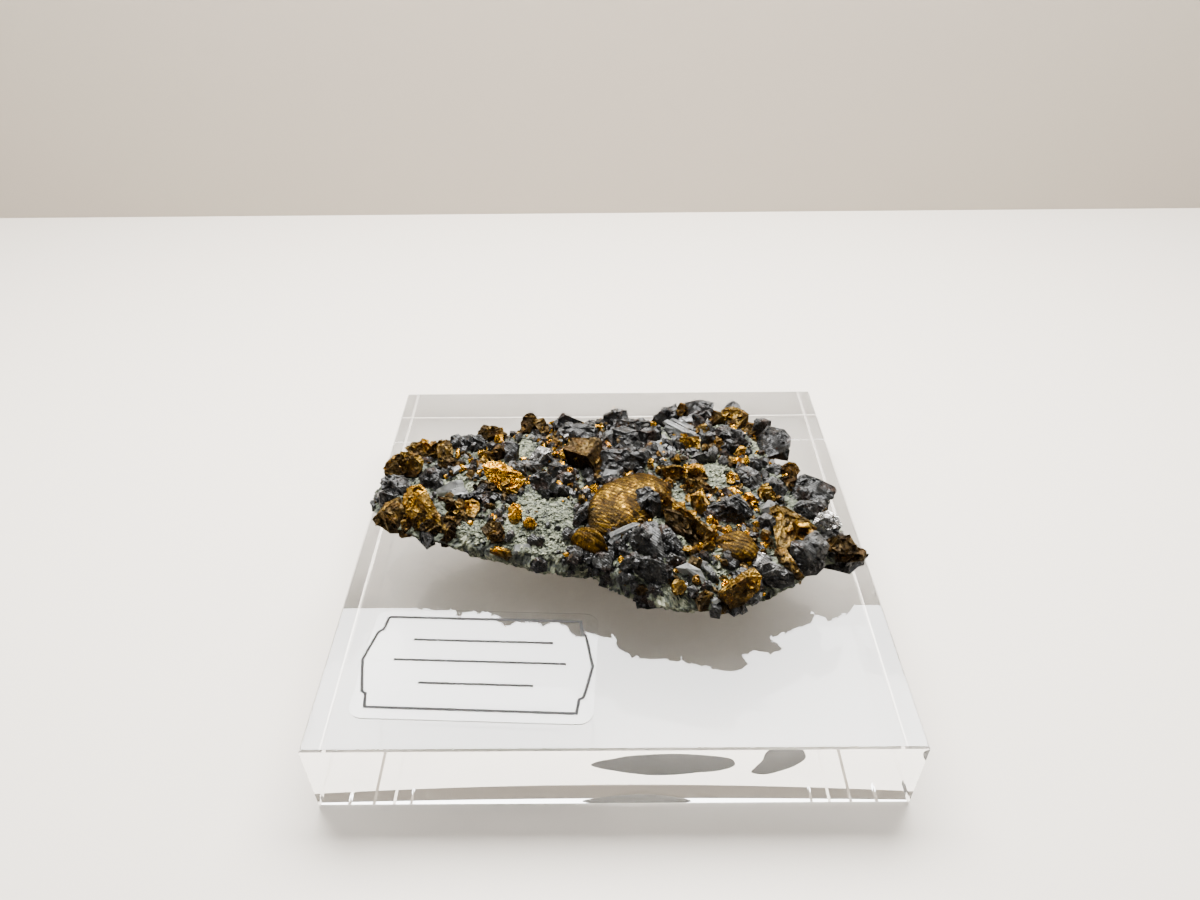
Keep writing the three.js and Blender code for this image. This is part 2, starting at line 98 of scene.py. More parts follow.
def noise(points, size, seed):
    # -1 to 1: a random value at each corner of cells of that size, blended across the cell by 3t^2 - 2t^3
    place = points / size
    base = np.floor(place)
    t = place - base
    t = t * t * (3 - 2 * t)
    total = np.zeros(points.shape[:-1])
    for corner in np.ndindex(2, 2, 2):
        total += np.prod(np.where(corner, t, 1 - t), axis=-1) * cellNumber(base + corner, seed)
    return 2 * total - 1


def fractal(points, size, octaves, seed):
    # noise, plus the same at half the size and half the height, and so on
    return sum(noise(points, size / 2**k, seed + k) / 2**k for k in range(octaves))


def jitter(points, size, seed):
    # three noises side by side, as a vector
    return np.stack([noise(points, size, seed + k) for k in range(3)], axis=-1)


def grainField(points, size, seed):
    # every cell holds one random dot: the distances to the nearest and the second nearest dot, in cells,
    # the way from the nearest dot, and that dot's own random number
    place = points / size
    base = np.floor(place)
    nearest = np.full(points.shape[:-1], 9.0)
    second = nearest.copy()
    away = np.zeros(points.shape)
    number = nearest.copy()
    for offset in np.ndindex(3, 3, 3):
        cell = base + offset - 1
        dot = cell + np.stack([cellNumber(cell, seed + k) for k in range(3)], axis=-1)
        gap = np.linalg.norm(place - dot, axis=-1)
        closer = gap < nearest
        second = np.where(closer, nearest, np.minimum(second, gap))
        away = np.where(closer[..., None], place - dot, away)
        number = np.where(closer, cellNumber(cell, seed + 3), number)
        nearest = np.where(closer, gap, nearest)
    return nearest, second, away, number


class Wire:
    # a node's output: arithmetic on it adds Math nodes
    def __init__(self, paint, socket):
        self.paint, self.socket = paint, socket

    def joined(self, operation, first, second):
        return self.paint.add("ShaderNodeMath", {"operation": operation}, {0: first, 1: second})

    def __add__(self, other):
        return self.joined("ADD", self, other)

    def __radd__(self, other):
        return self.joined("ADD", other, self)

    def __sub__(self, other):
        return self.joined("SUBTRACT", self, other)

    def __rsub__(self, other):
        return self.joined("SUBTRACT", other, self)

    def __mul__(self, other):
        return self.joined("MULTIPLY", self, other)

    def __rmul__(self, other):
        return self.joined("MULTIPLY", other, self)


class Paint:
    # one material and its node tree
    def __init__(self, name):
        self.material = bpy.data.materials.new(name)
        self.material.use_nodes = True
        self.tree = self.material.node_tree
        self.tree.nodes.clear()

    def add(self, kind, settings=None, sockets=None, output=0):
        # a node of that type: its settings first, then the values or links of its sockets
        node = self.tree.nodes.new(kind)
        for name, value in (settings or {}).items():
            if name == "stops":
                while len(node.color_ramp.elements) < len(value):
                    node.color_ramp.elements.new(1)
                for element, (position, colour) in zip(node.color_ramp.elements, value):
                    element.position, element.color = position, (*colour, 1)
            else:
                setattr(node, name, value)
        for name, value in (sockets or {}).items():
            if isinstance(value, Wire):
                self.tree.links.new(value.socket, node.inputs[name])
            else:
                node.inputs[name].default_value = value
        return Wire(self, node.outputs[output])

    def place(self):
        return self.add("ShaderNodeTexCoord", output="Object")

    def attribute(self, name):
        return self.add("ShaderNodeAttribute", {"attribute_name": name}, output="Fac")

    def noise(self, size, detail=3, roughness=0.55):
        # 0 to 1, in blotches of that size in millimetres
        return self.add("ShaderNodeTexNoise", {}, {"Vector": self.place(), "Scale": 1 / (size * metre),
                                                   "Detail": detail, "Roughness": roughness})

    def waves(self, scale, distortion):
        # fine slanting bands, bent by noise
        return self.add("ShaderNodeTexWave", {"wave_type": "BANDS", "bands_direction": "DIAGONAL"},
                        {"Vector": self.place(), "Scale": scale, "Distortion": distortion, "Detail": 2,
                         "Detail Scale": 1.5})

    def facets(self, size):
        # small planes of that size, each with a tilt and a tone of its own: their height in millimetres,
        # which is the way from the cell's middle along a random direction, and the tone
        place = self.place()
        tone = self.add("ShaderNodeTexVoronoi", {}, {"Vector": place, "Scale": 1 / (size * metre)}, "Color")
        middle = Wire(self, tone.socket.node.outputs["Position"])
        away = self.add("ShaderNodeVectorMath", {"operation": "SUBTRACT"}, {0: place, 1: middle})
        lean = self.add("ShaderNodeVectorMath", {"operation": "SUBTRACT"}, {0: tone, 1: (0.5, 0.5, 0.5)})
        height = self.add("ShaderNodeVectorMath", {"operation": "DOT_PRODUCT"}, {0: away, 1: lean}, "Value")
        return height * (1 / metre), tone

    def ramp(self, factor, stops):
        return self.add("ShaderNodeValToRGB", {"stops": stops}, {0: factor})

    def mix(self, factor, first, second):
        def four(colour):
            return colour if isinstance(colour, Wire) else (*colour, 1)

        return self.add("ShaderNodeMix", {"data_type": "RGBA"},
                        {0: factor, 6: four(first), 7: four(second)}, 2)

    def held(self, value, low, high):
        # value, moved from low..high to 0..1 and held there
        return self.add("ShaderNodeMapRange", {"clamp": True}, {0: value, 1: low, 2: high})

    def bump(self, height, depth):
        # depth is how many millimetres a height of 1 stands for
        return self.add("ShaderNodeBump", {}, {"Height": height, "Distance": depth * metre, "Strength": 1})

    def finish(self, sockets):
        shader = self.add("ShaderNodeBsdfPrincipled", {}, sockets)
        output = self.tree.nodes.new("ShaderNodeOutputMaterial")
        self.tree.links.new(shader.socket, output.inputs["Surface"])
        return self.material


weldGap = 0.0002  # how far apart points that are joined may lie


def meshPiece(name, points, triangles, material, tones=None, weld=False, sharp=None):
    # points in millimetres; tones holds one number a triangle, which the material reads as "tone"; weld
    # joins points that lie together, and sharp is the angle in degrees from which an edge isn't smoothed
    mesh = bpy.data.meshes.new(name)
    mesh.vertices.add(len(points))
    mesh.vertices.foreach_set("co", np.asarray(points * metre, np.float32).ravel())
    mesh.loops.add(3 * len(triangles))
    mesh.loops.foreach_set("vertex_index", np.asarray(triangles, np.int32).ravel())
    mesh.polygons.add(len(triangles))
    mesh.polygons.foreach_set("loop_start", np.arange(0, 3 * len(triangles), 3, dtype=np.int32))
    mesh.update(calc_edges=True)
    if tones is not None:
        mesh.attributes.new("tone", "FLOAT", "FACE").data.foreach_set("value", np.asarray(tones, np.float32))
    if weld:
        work = bmesh.new()
        work.from_mesh(mesh)
        bmesh.ops.remove_doubles(work, verts=work.verts, dist=weldGap * metre)
        work.to_mesh(mesh)
        work.free()
    if sharp is None:
        mesh.shade_flat()
    else:
        mesh.shade_smooth()
        mesh.set_sharp_from_angle(angle=math.radians(sharp))
    mesh.materials.append(material)
    piece = bpy.data.objects.new(name, mesh)
    bpy.context.scene.collection.objects.link(piece)
    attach(piece, "root")
    print(name, len(mesh.polygons), "triangles")
    return piece


# The stone's edge seen from above, anticlockwise, and its heights, as the solid has them.
stone = {
    "edge": [
        (33.4, -4.0), (31.6, 0.5), (28.6, 5.0), (27.0, 10.0), (26.4, 15.0), (22.0, 19.6), (15.0, 20.6),
        (8.0, 19.5), (0.0, 19.0), (-8.0, 18.2), (-13.0, 17.0), (-18.0, 14.8), (-23.0, 12.4), (-29.0, 10.0),
        (-32.6, 7.0), (-34.4, 3.4), (-34.8, -1.0), (-34.0, -4.4), (-31.0, -7.2), (-25.0, -8.9),
        (-19.0, -10.8), (-13.0, -12.6), (-9.0, -13.4), (-3.0, -13.6), (-0.5, -15.6), (4.0, -18.4),
        (10.0, -20.4), (13.0, -20.8), (17.0, -19.8), (24.0, -16.8), (27.0, -13.6), (30.0, -12.0),
        (32.4, -10.6), (33.2, -8.0)],
    "top": 21.0, "slope": -0.04, "edgeDrop": 2.2, "underside": 13.5, "rim": 15.0, "rimLift": 0.165,
    "rimTurn": -8,
    "columns": 252,  # across the upper face; the underside has half as many
    # how far out and how far down the side the wall lies, from the upper face to the underside
    "wall": [(0.92, 0), (0.955, 0.08), (0.985, 0.2), (1.0, 0.38), (0.985, 0.58), (0.955, 0.78), (0.91, 0.93),
             (0.87, 1)],
    "wallRows": 14,
}
edgePoints = np.array(stone["edge"])
edgeAngles = np.arctan2(edgePoints[:, 1], edgePoints[:, 0]) % (2 * np.pi)
edgeRadii = np.hypot(edgePoints[:, 0], edgePoints[:, 1])


def edgeRadius(angle):
    # straight between the neighbouring points of the edge
    return np.interp(angle % (2 * np.pi), edgeAngles, edgeRadii, period=2 * np.pi)


def shareOfRadius(x, y):
    # how far out a point is, as a share of the edge's radius in its direction
    return np.hypot(x, y) / edgeRadius(np.arctan2(y, x))


def stoneTop(x, y):
    # a plane that falls towards +X and drops with the cube of the share of the radius
    return stone["top"] + stone["slope"] * x - stone["edgeDrop"] * np.minimum(shareOfRadius(x, y), 1) ** 3


def stoneUnderside(x, y):
    # lowest in the middle, rising to the rim with the share of the radius to the power 2.4
    share = np.minimum(shareOfRadius(x, y), 1)
    rim = stone["rim"] + stone["rimLift"] * np.maximum(stone["rimTurn"] - x, 0)
    return stone["underside"] + (rim - stone["underside"]) * share**2.4


def lumps(x, y):
    # three crossed waves
    return (0.3 * np.sin(0.9 * x + 0.5 * y) + 0.25 * np.sin(1.1 * y - 0.7 * x + 1.3)
            + 0.15 * np.sin(1.9 * x + 2.3) * np.sin(1.7 * y))


def stonePoints(share, down, angle):
    # share is the part of the radius, down the part of the way from the upper face to the underside
    wobble = 1 + smoothStep(0.85, 0.95, share) * (0.012 * np.sin(7 * angle + 9 * down)
                                                  + 0.01 * np.sin(17 * angle - 5 * down))
    radius = edgeRadius(angle) * share * wobble
    x, y = radius * np.cos(angle), radius * np.sin(angle)
    top = stoneTop(x, y) + lumps(x, y)
    bottom = stoneUnderside(x, y) + 0.35 * smoothStep(0.6, 0.87, share) * (1 + np.sin(x + 1.3 * y))
    return np.stack([x, y, top + (bottom - top) * down], axis=-1)


def discGrid(columns):
    # a square grid bent into a disc: rings of the square become circles, and its diagonals stay straight
    side = np.linspace(-1, 1, columns + 1)
    a, b = np.meshgrid(side, side, indexing="ij")
    wide = np.abs(a) > np.abs(b)
    safeA, safeB = np.where(wide, a, 1), np.where(wide | (b == 0), 1, b)
    angle = np.where(wide, np.pi / 4 * b / safeA, np.pi / 2 - np.pi / 4 * a / safeB)
    share = np.where(wide, a, b)
    angle = angle + np.where(share < 0, np.pi, 0)
    return np.abs(share), angle


def gridTriangles(rows, columns, first=0):
    # two triangles for each square of a grid of points
    corner = first + (np.arange(rows)[:, None] * (columns + 1) + np.arange(columns)).ravel()
    right, up = corner + columns + 1, corner + 1
    return np.concatenate([np.stack([corner, right, right + 1], 1), np.stack([corner, right + 1, up], 1)])


def rim(columns, first=0):
    # the points round the outside of such a grid, anticlockwise
    n = columns + 1
    k = np.arange(columns)
    return first + np.concatenate([k * n, columns * n + k, (columns - k) * n + columns, columns - k])


def pointNormals(points, triangles):
    # the sum of the normals of the triangles round each point, each as long as its triangle is large
    a, b, c = (points[triangles[:, k]] for k in range(3))
    faces = np.cross(b - a, c - a)
    normals = np.stack([sum(np.bincount(triangles[:, k], faces[:, axis], len(points)) for k in range(3))
                        for axis in range(3)], axis=-1)
    return normals / (np.linalg.norm(normals, axis=1)[:, None] + 1e-12)


def stoneShell():
    # the upper disc, the rows of the wall below its rim, and the disc of the underside with half the columns
    columns, half = stone["columns"], stone["columns"] // 2
    share, angle = discGrid(columns)
    wall = np.array(stone["wall"])
    parts = [stonePoints(share * wall[0, 0], 0 * share, angle).reshape(-1, 3)]
    triangles = [gridTriangles(columns, columns)]
    ring = rim(columns)
    rimAngle = angle.ravel()[ring]
    rows = np.linspace(0, len(wall) - 1, stone["wallRows"] + 2)[1:-1]
    for out, down in np.stack([np.interp(rows, np.arange(len(wall)), wall[:, k]) for k in (0, 1)], axis=-1):
        first = sum(map(len, parts))
        parts.append(stonePoints(out + 0 * rimAngle, down + 0 * rimAngle, rimAngle))
        lower = first + np.arange(len(rimAngle))
        nextRing, nextLower = np.roll(ring, -1), np.roll(lower, -1)
        triangles += [np.stack([ring, lower, nextLower], 1), np.stack([ring, nextLower, nextRing], 1)]
        ring = lower
    first = sum(map(len, parts))
    share, angle = discGrid(half)
    parts.append(stonePoints(share * wall[-1, 0], 1 + 0 * share, angle).reshape(-1, 3))
    triangles.append(gridTriangles(half, half, first)[:, ::-1])
    coarse = rim(half, first)
    even, odd, after = ring[::2], ring[1::2], np.roll(ring[::2], -1)
    nextCoarse = np.roll(coarse, -1)
    triangles += [np.stack([even, coarse, odd], 1), np.stack([odd, coarse, nextCoarse], 1),
                  np.stack([odd, nextCoarse, after], 1)]
    return np.concatenate(parts), np.concatenate(triangles)


def stoneRelief(points):
    # hills of 2 mm, granules of 0.6 mm that each stand at their own height with a tilted top, and fine grit
    hills = 0.22 * fractal(points, 2.2, 3, 11)
    nearest, second, away, number = grainField(points, 0.75, 21)
    tilt = np.stack([np.sin(40 * number), np.cos(57 * number), np.sin(91 * number)], axis=-1)
    seam = 1 - smoothStep(0, 0.22, second - nearest)
    granules = 0.34 * (number - 0.45) + 0.22 * np.sum(away * tilt, axis=-1) - 0.14 * seam
    return hills + granules + 0.07 * noise(points, 0.22, 31), number


# Where the bare stone shows: ellipses of x, y and two half widths.
barePatches = [
    (-9.9, -8.0, 5.8, 8.6), (-18.6, -10.4, 3.3, 4.2), (-22.8, 0.3, 2.6, 2.8), (-13.5, 10, 2.2, 3.6),
    (16, 4, 2.4, 4.6), (10.3, -1.5, 1.3, 1.6), (8, 13, 2.4, 2.2), (8.5, -19.5, 3.4, 1.4), (24, 13.5, 1.4, 2),
    (13.5, -15, 1.6, 1.3), (-26, 8, 1, 1)]


def bareness(x, y):
    # 1 where the stone is bare, 0 among the crystals
    return np.max([1 - smoothStep(0.75, 1.1, np.hypot((x - cx) / rx, (y - cy) / ry))
                   for cx, cy, rx, ry in barePatches], axis=0)


def paintedStoneLight(points):
    # 1 on the bare stone, more on its wall and underside, which are painted lighter, and less between the
    # crystals, where painted shade falls
    x, y = points[:, 0], points[:, 1]
    below = smoothStep(0.5, 2.0, stoneTop(x, y) - points[:, 2])
    between = 0.35 + 0.35 * noise(points, 4.0, 61)
    return 0.35 + 0.2 * below + 0.65 * np.maximum(np.maximum(bareness(x, y), below), between)


stoneLook = {
    "pale": (0.156, 0.165, 0.105), "green": (0.074, 0.084, 0.053), "grey": (0.031, 0.035, 0.025),
    "white": (0.34, 0.34, 0.24), "speck": (0.008, 0.009, 0.008), "roughness": 0.8,
}


def stoneMaterial():
    p = Paint("stone")
    tone = p.attribute("tone")
    blotch = p.noise(4.5, 4)
    fine = p.noise(0.5, 4, 0.7)
    value = tone * 0.55 + fine * 1.1 + blotch * 0.5 - 0.6
    colour = p.ramp(value, [(0.12, stoneLook["speck"]), (0.3, stoneLook["grey"]), (0.46, stoneLook["green"]),
                            (0.66, stoneLook["pale"]), (0.9, stoneLook["white"])])
    relief = p.bump(p.noise(0.16, 3, 0.8), 0.05)
    return p.finish({"Base Color": colour, "Roughness": stoneLook["roughness"], "Normal": relief})


shell, shellTriangles = stoneShell()
shellNormals = pointNormals(shell, shellTriangles)
relief, shellNumber = stoneRelief(shell)
shell = shell + shellNormals * relief[:, None]
stoneSkin = stoneMaterial()
# the granules' own tones times the painted light and shade of the stone
shellTone = shellNumber * paintedStoneLight(shell)
stonePiece = meshPiece("stoneMatrix", shell, shellTriangles, stoneSkin, shellTone[shellTriangles[:, 0]])
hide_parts("specimen")
print("stone made")

# Crystals. Each row: x, y and the height of its centre above the stone, length, width and height,
# turn about Z and dip in degrees, and its tone.
chalcopyriteRows = [
    (-26.4, 11.2, 0.6, 2.6, 1.9, 1.9, 10, 0, 0.45), (-24.7, 5.1, 0.5, 3.8, 2.2, 1.9, -10, 8, 0.25),
    (-19, 7, 0.5, 2.8, 1.8, 1.7, 0, 0, 0.5), (-27.3, -6.1, 0.6, 3.8, 2.8, 2.6, 0, 5, 0.5),
    (-29.2, -7.2, 0, 2.8, 1.7, 2.4, 70, 15, 0.45), (-25.7, -7.6, 0.2, 3.2, 1.9, 1.8, 10, 0, 0.25),
    (-22.5, -7.2, 0.2, 3, 2.4, 2.3, 30, 0, 0.35), (-16.2, -9.6, 0.2, 2.7, 2, 1.8, 20, 0, 0.35),
    (-19.4, 13.4, 0.9, 3.8, 2.4, 2.8, 0, 0, 0.3), (-12.9, 15.7, 1.4, 3.4, 2.8, 3.4, 20, 0, 0.25),
    (-11.2, 15, 1, 3, 3, 3.2, 70, 10, 0.4), (-17.2, 7.8, 0.5, 2.2, 2.6, 2.4, 80, 0, 0.1),
    (-18.2, -0.5, 0.3, 3.2, 2, 1.9, 0, 0, 0.15), (-15.2, -0.9, 0.5, 2.6, 2.1, 2.1, 60, 0, 0.5),
    (10.4, -12.6, 0.3, 2.6, 1, 1, 5, 0, 0.75), (12.2, 18.8, 2.2, 2, 1.8, 3.6, 0, 0, 0.35),
    (13.8, 2.6, 0.6, 2.5, 2.1, 2, -30, 0, 0.6), (12.2, 0.7, 0.5, 2.5, 2.1, 2, 20, 0, 0.4),
    (28.2, 6.2, 0.9, 3.2, 3, 3.2, 20, 0, 0.3), (28, 2.9, 0.5, 3.2, 2.8, 2.6, 60, 0, 0.35),
    (14, -0.2, 0.6, 2.8, 2.1, 2, -20, 0, 0.4), (20.6, -2.2, 0.6, 2.6, 2.1, 2, -20, 0, 0.95),
    (23.3, -0.7, 0.8, 2.7, 2.7, 2.7, 60, 0, 0.55), (16.1, -18.6, -1.1, 2.6, 1.9, 1.8, 0, 0, 0.4),
    (8.9, -17.3, -0.5, 2.5, 2, 2, 10, 0, 0.3), (31.2, -1.9, 0.2, 3.2, 1.2, 1.2, -15, 0, 0.3),
    (33.7, -11, 0.1, 5, 1.9, 1.9, 5, 5, 0.25),
]
sphaleriteRows = [
    (-24.2, 11.8, 0.6, 2.8, 2.4, 2.3, 0, 0, 0.35), (-21.8, 12, 0.6, 3.2, 2.2, 2.1, 0, 0, 0.4),
    (-32.2, 1.1, 0.5, 4.4, 2.3, 2.2, 0, 0, 0.45), (-26.4, -8.4, -0.8, 3.2, 1.9, 2.0, -45, 0, 0.1),
    (-15.5, 7.9, 0.5, 3, 1.7, 2, 85, 0, 0.4), (-4.6, 13.6, 0.7, 5.8, 3.4, 2.2, 0, 0, 0.4),
    (-12.5, 3.9, 0.5, 4.6, 1.9, 1.6, -5, 0, 0.5), (-8.1, 2.8, 0.7, 2.8, 2.4, 2.2, 0, 0, 0.15),
    (-6.3, 0.8, 0.6, 2.6, 2.2, 2.2, 0, 0, 0.2), (-7.2, -1.1, 0.4, 2.6, 1.5, 1.4, 0, 0, 0.3),
    (6.3, -18, -0.9, 2.6, 2.4, 2.4, 60, 0, 0.35), (3.2, 15.9, 0.9, 5.2, 2.6, 2.2, 0, 0, 0.25),
    (5.4, 16.2, 0.9, 2.9, 2.2, 2, -20, 0, 0.3), (2.1, 12.7, 0.7, 5.6, 3.2, 2.6, 0, 0, 0.3),
    (6.3, 12.6, 0.7, 3.9, 2.6, 2.4, 20, 0, 0.05), (2.6, 4.2, 0.5, 5, 2.2, 1.9, 0, 0, 0.15),
    (14.8, 18.6, 0.9, 2.3, 1.5, 1.8, 0, 0, 0.15), (25.4, 17.2, 1.4, 3.2, 2, 2.6, -15, 0, 0.3),
    (27.3, 12, 0.5, 3.8, 2.2, 2.1, -20, 0, 0.15), (19.6, 13.9, 0.7, 4.8, 2.6, 2.4, -5, 0, 0.4),
    (19.3, 11.5, 0.5, 2.5, 1.8, 1.7, 0, 0, 0.3), (21.2, 3.3, 0.6, 3.9, 2.7, 2.5, -10, 0, 0.45),
    (25.9, 6.4, 0.5, 2.5, 1.8, 1.7, 0, 0, 0.45), (25.1, 2.6, 0.5, 2.7, 1.8, 1.7, -10, 0, 0.45),
    (16.2, 8.9, 0.5, 2.9, 1.5, 1.6, 75, 0, 0.45), (16.7, -5.7, 0.3, 4.6, 2, 1.9, 0, 0, 0.08),
    (22.3, -6.9, 0.5, 2.6, 2.4, 2.2, 0, 0, 0.4), (30.8, -0.2, 0.2, 4.4, 1.8, 1.7, -5, 0, 0.2),
    (-10.6, -10.5, 0.1, 2.6, 1.4, 1.3, 0, 0, 0.3), (-10.3, 6.2, 0.7, 3.5, 2.8, 2.5, 20, 0, 0.9),
]
quartzRows = [
    (-22.2, 4.1, 0.5, 4.4, 1.2, 1.2, 25, 0, 0.5), (-23.2, -0.1, 0.2, 3.2, 2.4, 1.8, 0, 0, 0.5),
    (-22.3, -1.7, 0.2, 2.8, 2.2, 1.7, 30, 0, 0.5), (-11, 11.4, 0.5, 2.6, 1.1, 1.1, -70, 0, 0.5),
    (2, -10, 1, 5.4, 1.6, 1.7, 39, 0, 0.5), (0.2, 2.4, 0.7, 2.5, 1.8, 1.7, -10, 0, 0.5),
    (12.4, -14.7, 0.2, 3.8, 1.1, 1.1, -55, 0, 0.5), (11.7, 15, 0.8, 7, 2, 2, -38, 0, 0.5),
    (9.2, 10.6, 0.5, 5, 1.3, 1.3, -80, 0, 0.5), (8.1, 9.6, 0.4, 3.6, 1.1, 1.1, -75, 0, 0.5),
    (12.7, 18.2, 0.8, 2.9, 2.2, 2, 0, 0, 0.5), (23.2, -3.4, 0.5, 2.6, 1.9, 1.8, 70, 0, 0.5),
    (-12.4, -11.2, -0.4, 2.8, 1.8, 1.5, 0, 0, 0.5),
]

# A form is its faces, each a direction and a distance from the middle.
forms = {
    "wedge": [
        (1, 1, 1, 0.6), (-1, -1, 1, 0.62), (-1, 1, -1, 0.6), (1, -1, -1, 0.62),
        (-1, -1, -1, 0.85), (1, 1, -1, 0.88), (1, -1, 1, 0.82), (-1, 1, 1, 0.86), (0, 0.1, 1, 0.72)],
    "block": [
        (1, 1, 1, 0.86), (-1, -1, 1, 0.8), (-1, 1, 0.9, 0.9), (1, -1, 0.9, 0.82), (0, -1, 0.3, 0.8),
        (1, 0.1, -0.2, 0.85), (-1, 0, -0.1, 0.85), (0, 1, -0.1, 0.85), (0, 0, -1, 0.8), (0.1, 0, 1, 0.75)],
    "prism": [
        (0, 1, 0, 1), (0, 0.5, 0.87, 1), (0, -0.5, 0.87, 1), (0, -1, 0, 1), (0, -0.5, -0.87, 1),
        (0, 0.5, -0.87, 1), (0.75, 0, 0.65, 2.4), (0.75, 0.6, -0.3, 2.5), (0.75, -0.6, -0.3, 2.4),
        (-0.8, 0, 0.6, 2.4), (-0.8, 0.2, -0.5, 2.4)],
    "slab": [
        (0.05, 0, 1, 0.5), (0, 0, -1, 0.5), (1, 0.3, 0.35, 1), (0.4, 1, -0.3, 1), (-0.5, 1, 0.3, 1),
        (-1, 0.1, -0.3, 1), (-0.5, -1, 0.3, 1), (0.5, -1, -0.35, 1), (0.9, -0.5, 0.3, 1)],
}


def scatter(seed, step):
    # the fraction of a large sine: 0 to 1, always the same for the same crystal and step
    wave = np.sin(seed * 12.9898 + step * 78.233) * 43758.5453
    return wave - np.floor(wave)


def crystalPlanes(form, seed):
    # each face's direction and distance, moved a little for this crystal
    plane = np.array(forms[form])
    face = 4 * np.arange(len(plane))
    shift = np.stack([scatter(seed, face + k) for k in range(3)], axis=-1) - 0.5
    normals = plane[:, :3] + 0.3 * shift
    normals /= np.linalg.norm(normals, axis=1)[:, None]
    return normals, plane[:, 3] * (1 + 0.16 * (scatter(seed, face + 3) - 0.5))


def fansOf(normals, distances):
    # corners are where three planes meet inside all the others; each face becomes a fan of triangles round
    # its middle, and the answer holds (middle, corner, next corner) of every fan triangle, and its face
    threes = np.array(list(combinations(range(len(normals)), 3)))
    threes = threes[np.abs(np.linalg.det(normals[threes])) > 1e-6]
    points = np.linalg.solve(normals[threes], distances[threes][..., None])[..., 0]
    inside = np.all(points @ normals.T <= distances + 1e-7, axis=1)
    points, threes = points[inside], threes[inside]
    fans, faces = [], []
    for face, normal in enumerate(normals):
        corner = points[(threes == face).any(axis=1)]
        if len(corner) < 3:
            continue
        middle = corner.mean(axis=0)
        side = corner[0] - middle
        other = np.cross(normal, side) / np.linalg.norm(side)
        bearing = np.arctan2((corner - middle) @ other, (corner - middle) @ side / np.linalg.norm(side))
        corner = corner[np.argsort(bearing)]
        middles, following = np.broadcast_to(middle, corner.shape), np.roll(corner, -1, axis=0)
        fans.append(np.stack([middles, corner, following], axis=1))
        faces.append(np.full(len(corner), face))
    return np.concatenate(fans), np.concatenate(faces)


def turnMatrix(turn, dip):
    # about Y by the dip, then about Z by the turn, in degrees
    t, d = math.radians(turn), math.radians(dip)
    aboutZ = np.array([[math.cos(t), -math.sin(t), 0], [math.sin(t), math.cos(t), 0], [0, 0, 1]])
    aboutY = np.array([[math.cos(d), 0, math.sin(d)], [0, 1, 0], [-math.sin(d), 0, math.cos(d)]])
    return aboutZ @ aboutY


rootDepth = 0.5  # how far into the stone every crystal reaches
# Each kind of random draw has numbers of its own, which start here.
seeds = {
    "bundle": 2000, "bundlePrism": 2500, "compound": 3000, "compoundPart": 4000, "companion": 5000,
    "rooted": 6000, "offshoot": 7000, "companions": 9000, "cut": 800, "cutOffshoots": 1500, "filler": 20000,
}


def unitFans(form, seed):
    # the form stretched to a box of side 1 round the origin
    fans, faces = fansOf(*crystalPlanes(form, seed))
    low, high = fans.min(axis=(0, 1)), fans.max(axis=(0, 1))
    return (fans - (low + high) / 2) / (high - low), faces


def setFans(form, box, turn, dip, centre, seed):
    # the form stretched to the box, turned, and moved to its centre
    fans, faces = unitFans(form, seed)
    return fans * box @ turnMatrix(turn, dip).T + centre, faces, np.asarray(centre)


def footing(row):
    # a crystal's centre and box: it grows down until it reaches into the stone
    x, y, rise, length, width, height = row[:6]
    growth = max(rise - height / 2 + rootDepth - lumps(x, y), 0)
    centre = np.array([x, y, stoneTop(x, y) + rise + 0.06 * height - growth / 2])
    return centre, np.array([length, width, 1.12 * height + growth])


def compound(form, row, seed):
    # the crystal, a little smaller than its box, and two to four of the same form grown on in parallel,
    # each pushed out to a side of that box
    random = np.random.default_rng(seeds["compound"] + seed)
    centre, box = footing(row)
    turn, dip = row[6:8]
    parts = [setFans(form, box, turn, dip, centre, seed)]
    for k in range(random.integers(2, 5)):
        share = random.uniform(0.42, 0.74, 3)
        push = random.uniform(-1, 1, 3)
        push /= np.abs(push).max()
        push[2] = max(push[2], -0.1)
        place = centre + turnMatrix(turn, dip) @ (push * (1 - share) / 2 * box * 1.08)
        lean = turn + random.uniform(-9, 9), dip + random.uniform(-6, 6)
        parts.append(setFans(form, share * box, *lean, place, seeds["compoundPart"] + 10 * seed + k))
    return parts


def bundle(row, seed):
    # six thin prisms side by side, nearly parallel
    random = np.random.default_rng(seeds["bundle"] + seed)
    centre, box = footing(row)
    turn, dip = row[6:8]
    parts = []
    for k in range(6):
        shift = random.uniform(-0.4, 0.4, 3) * box * [0.3, 1, 0.6]
        share = np.array([random.uniform(0.6, 1), random.uniform(0.4, 0.65), random.uniform(0.42, 0.65)])
        lean = turn + random.uniform(-9, 9), dip + random.uniform(-8, 8)
        parts.append(setFans("prism", share * box, *lean, centre + turnMatrix(turn, dip) @ shift,
                             seeds["bundlePrism"] + 10 * seed + k))
    return parts


def companions(row, seed, count):
    # smaller crystals round the foot of a larger one, as rows of their own
    random = np.random.default_rng(seeds["companions"] + seed)
    made = []
    for k in range(count):
        bearing = random.uniform(0, 2 * math.pi)
        reach = random.uniform(0.38, 0.62)
        x = row[0] + reach * row[3] * math.cos(bearing)
        y = row[1] + reach * row[4] * math.sin(bearing)
        size = min(random.uniform(0.32, 0.6) * max(row[3], row[4]), 2.6)
        if shareOfRadius(x, y) > 0.97 or bareness(x, y) > 0.3:
            continue
        length, width, height = size * random.uniform(0.65, 1.1, 3)
        made.append((x, y, 0.28 * height + lumps(x, y), length, width, height, random.uniform(0, 180),
                     random.uniform(-20, 20), float(np.clip(row[8] + random.uniform(-0.25, 0.25), 0, 1))))
    return made


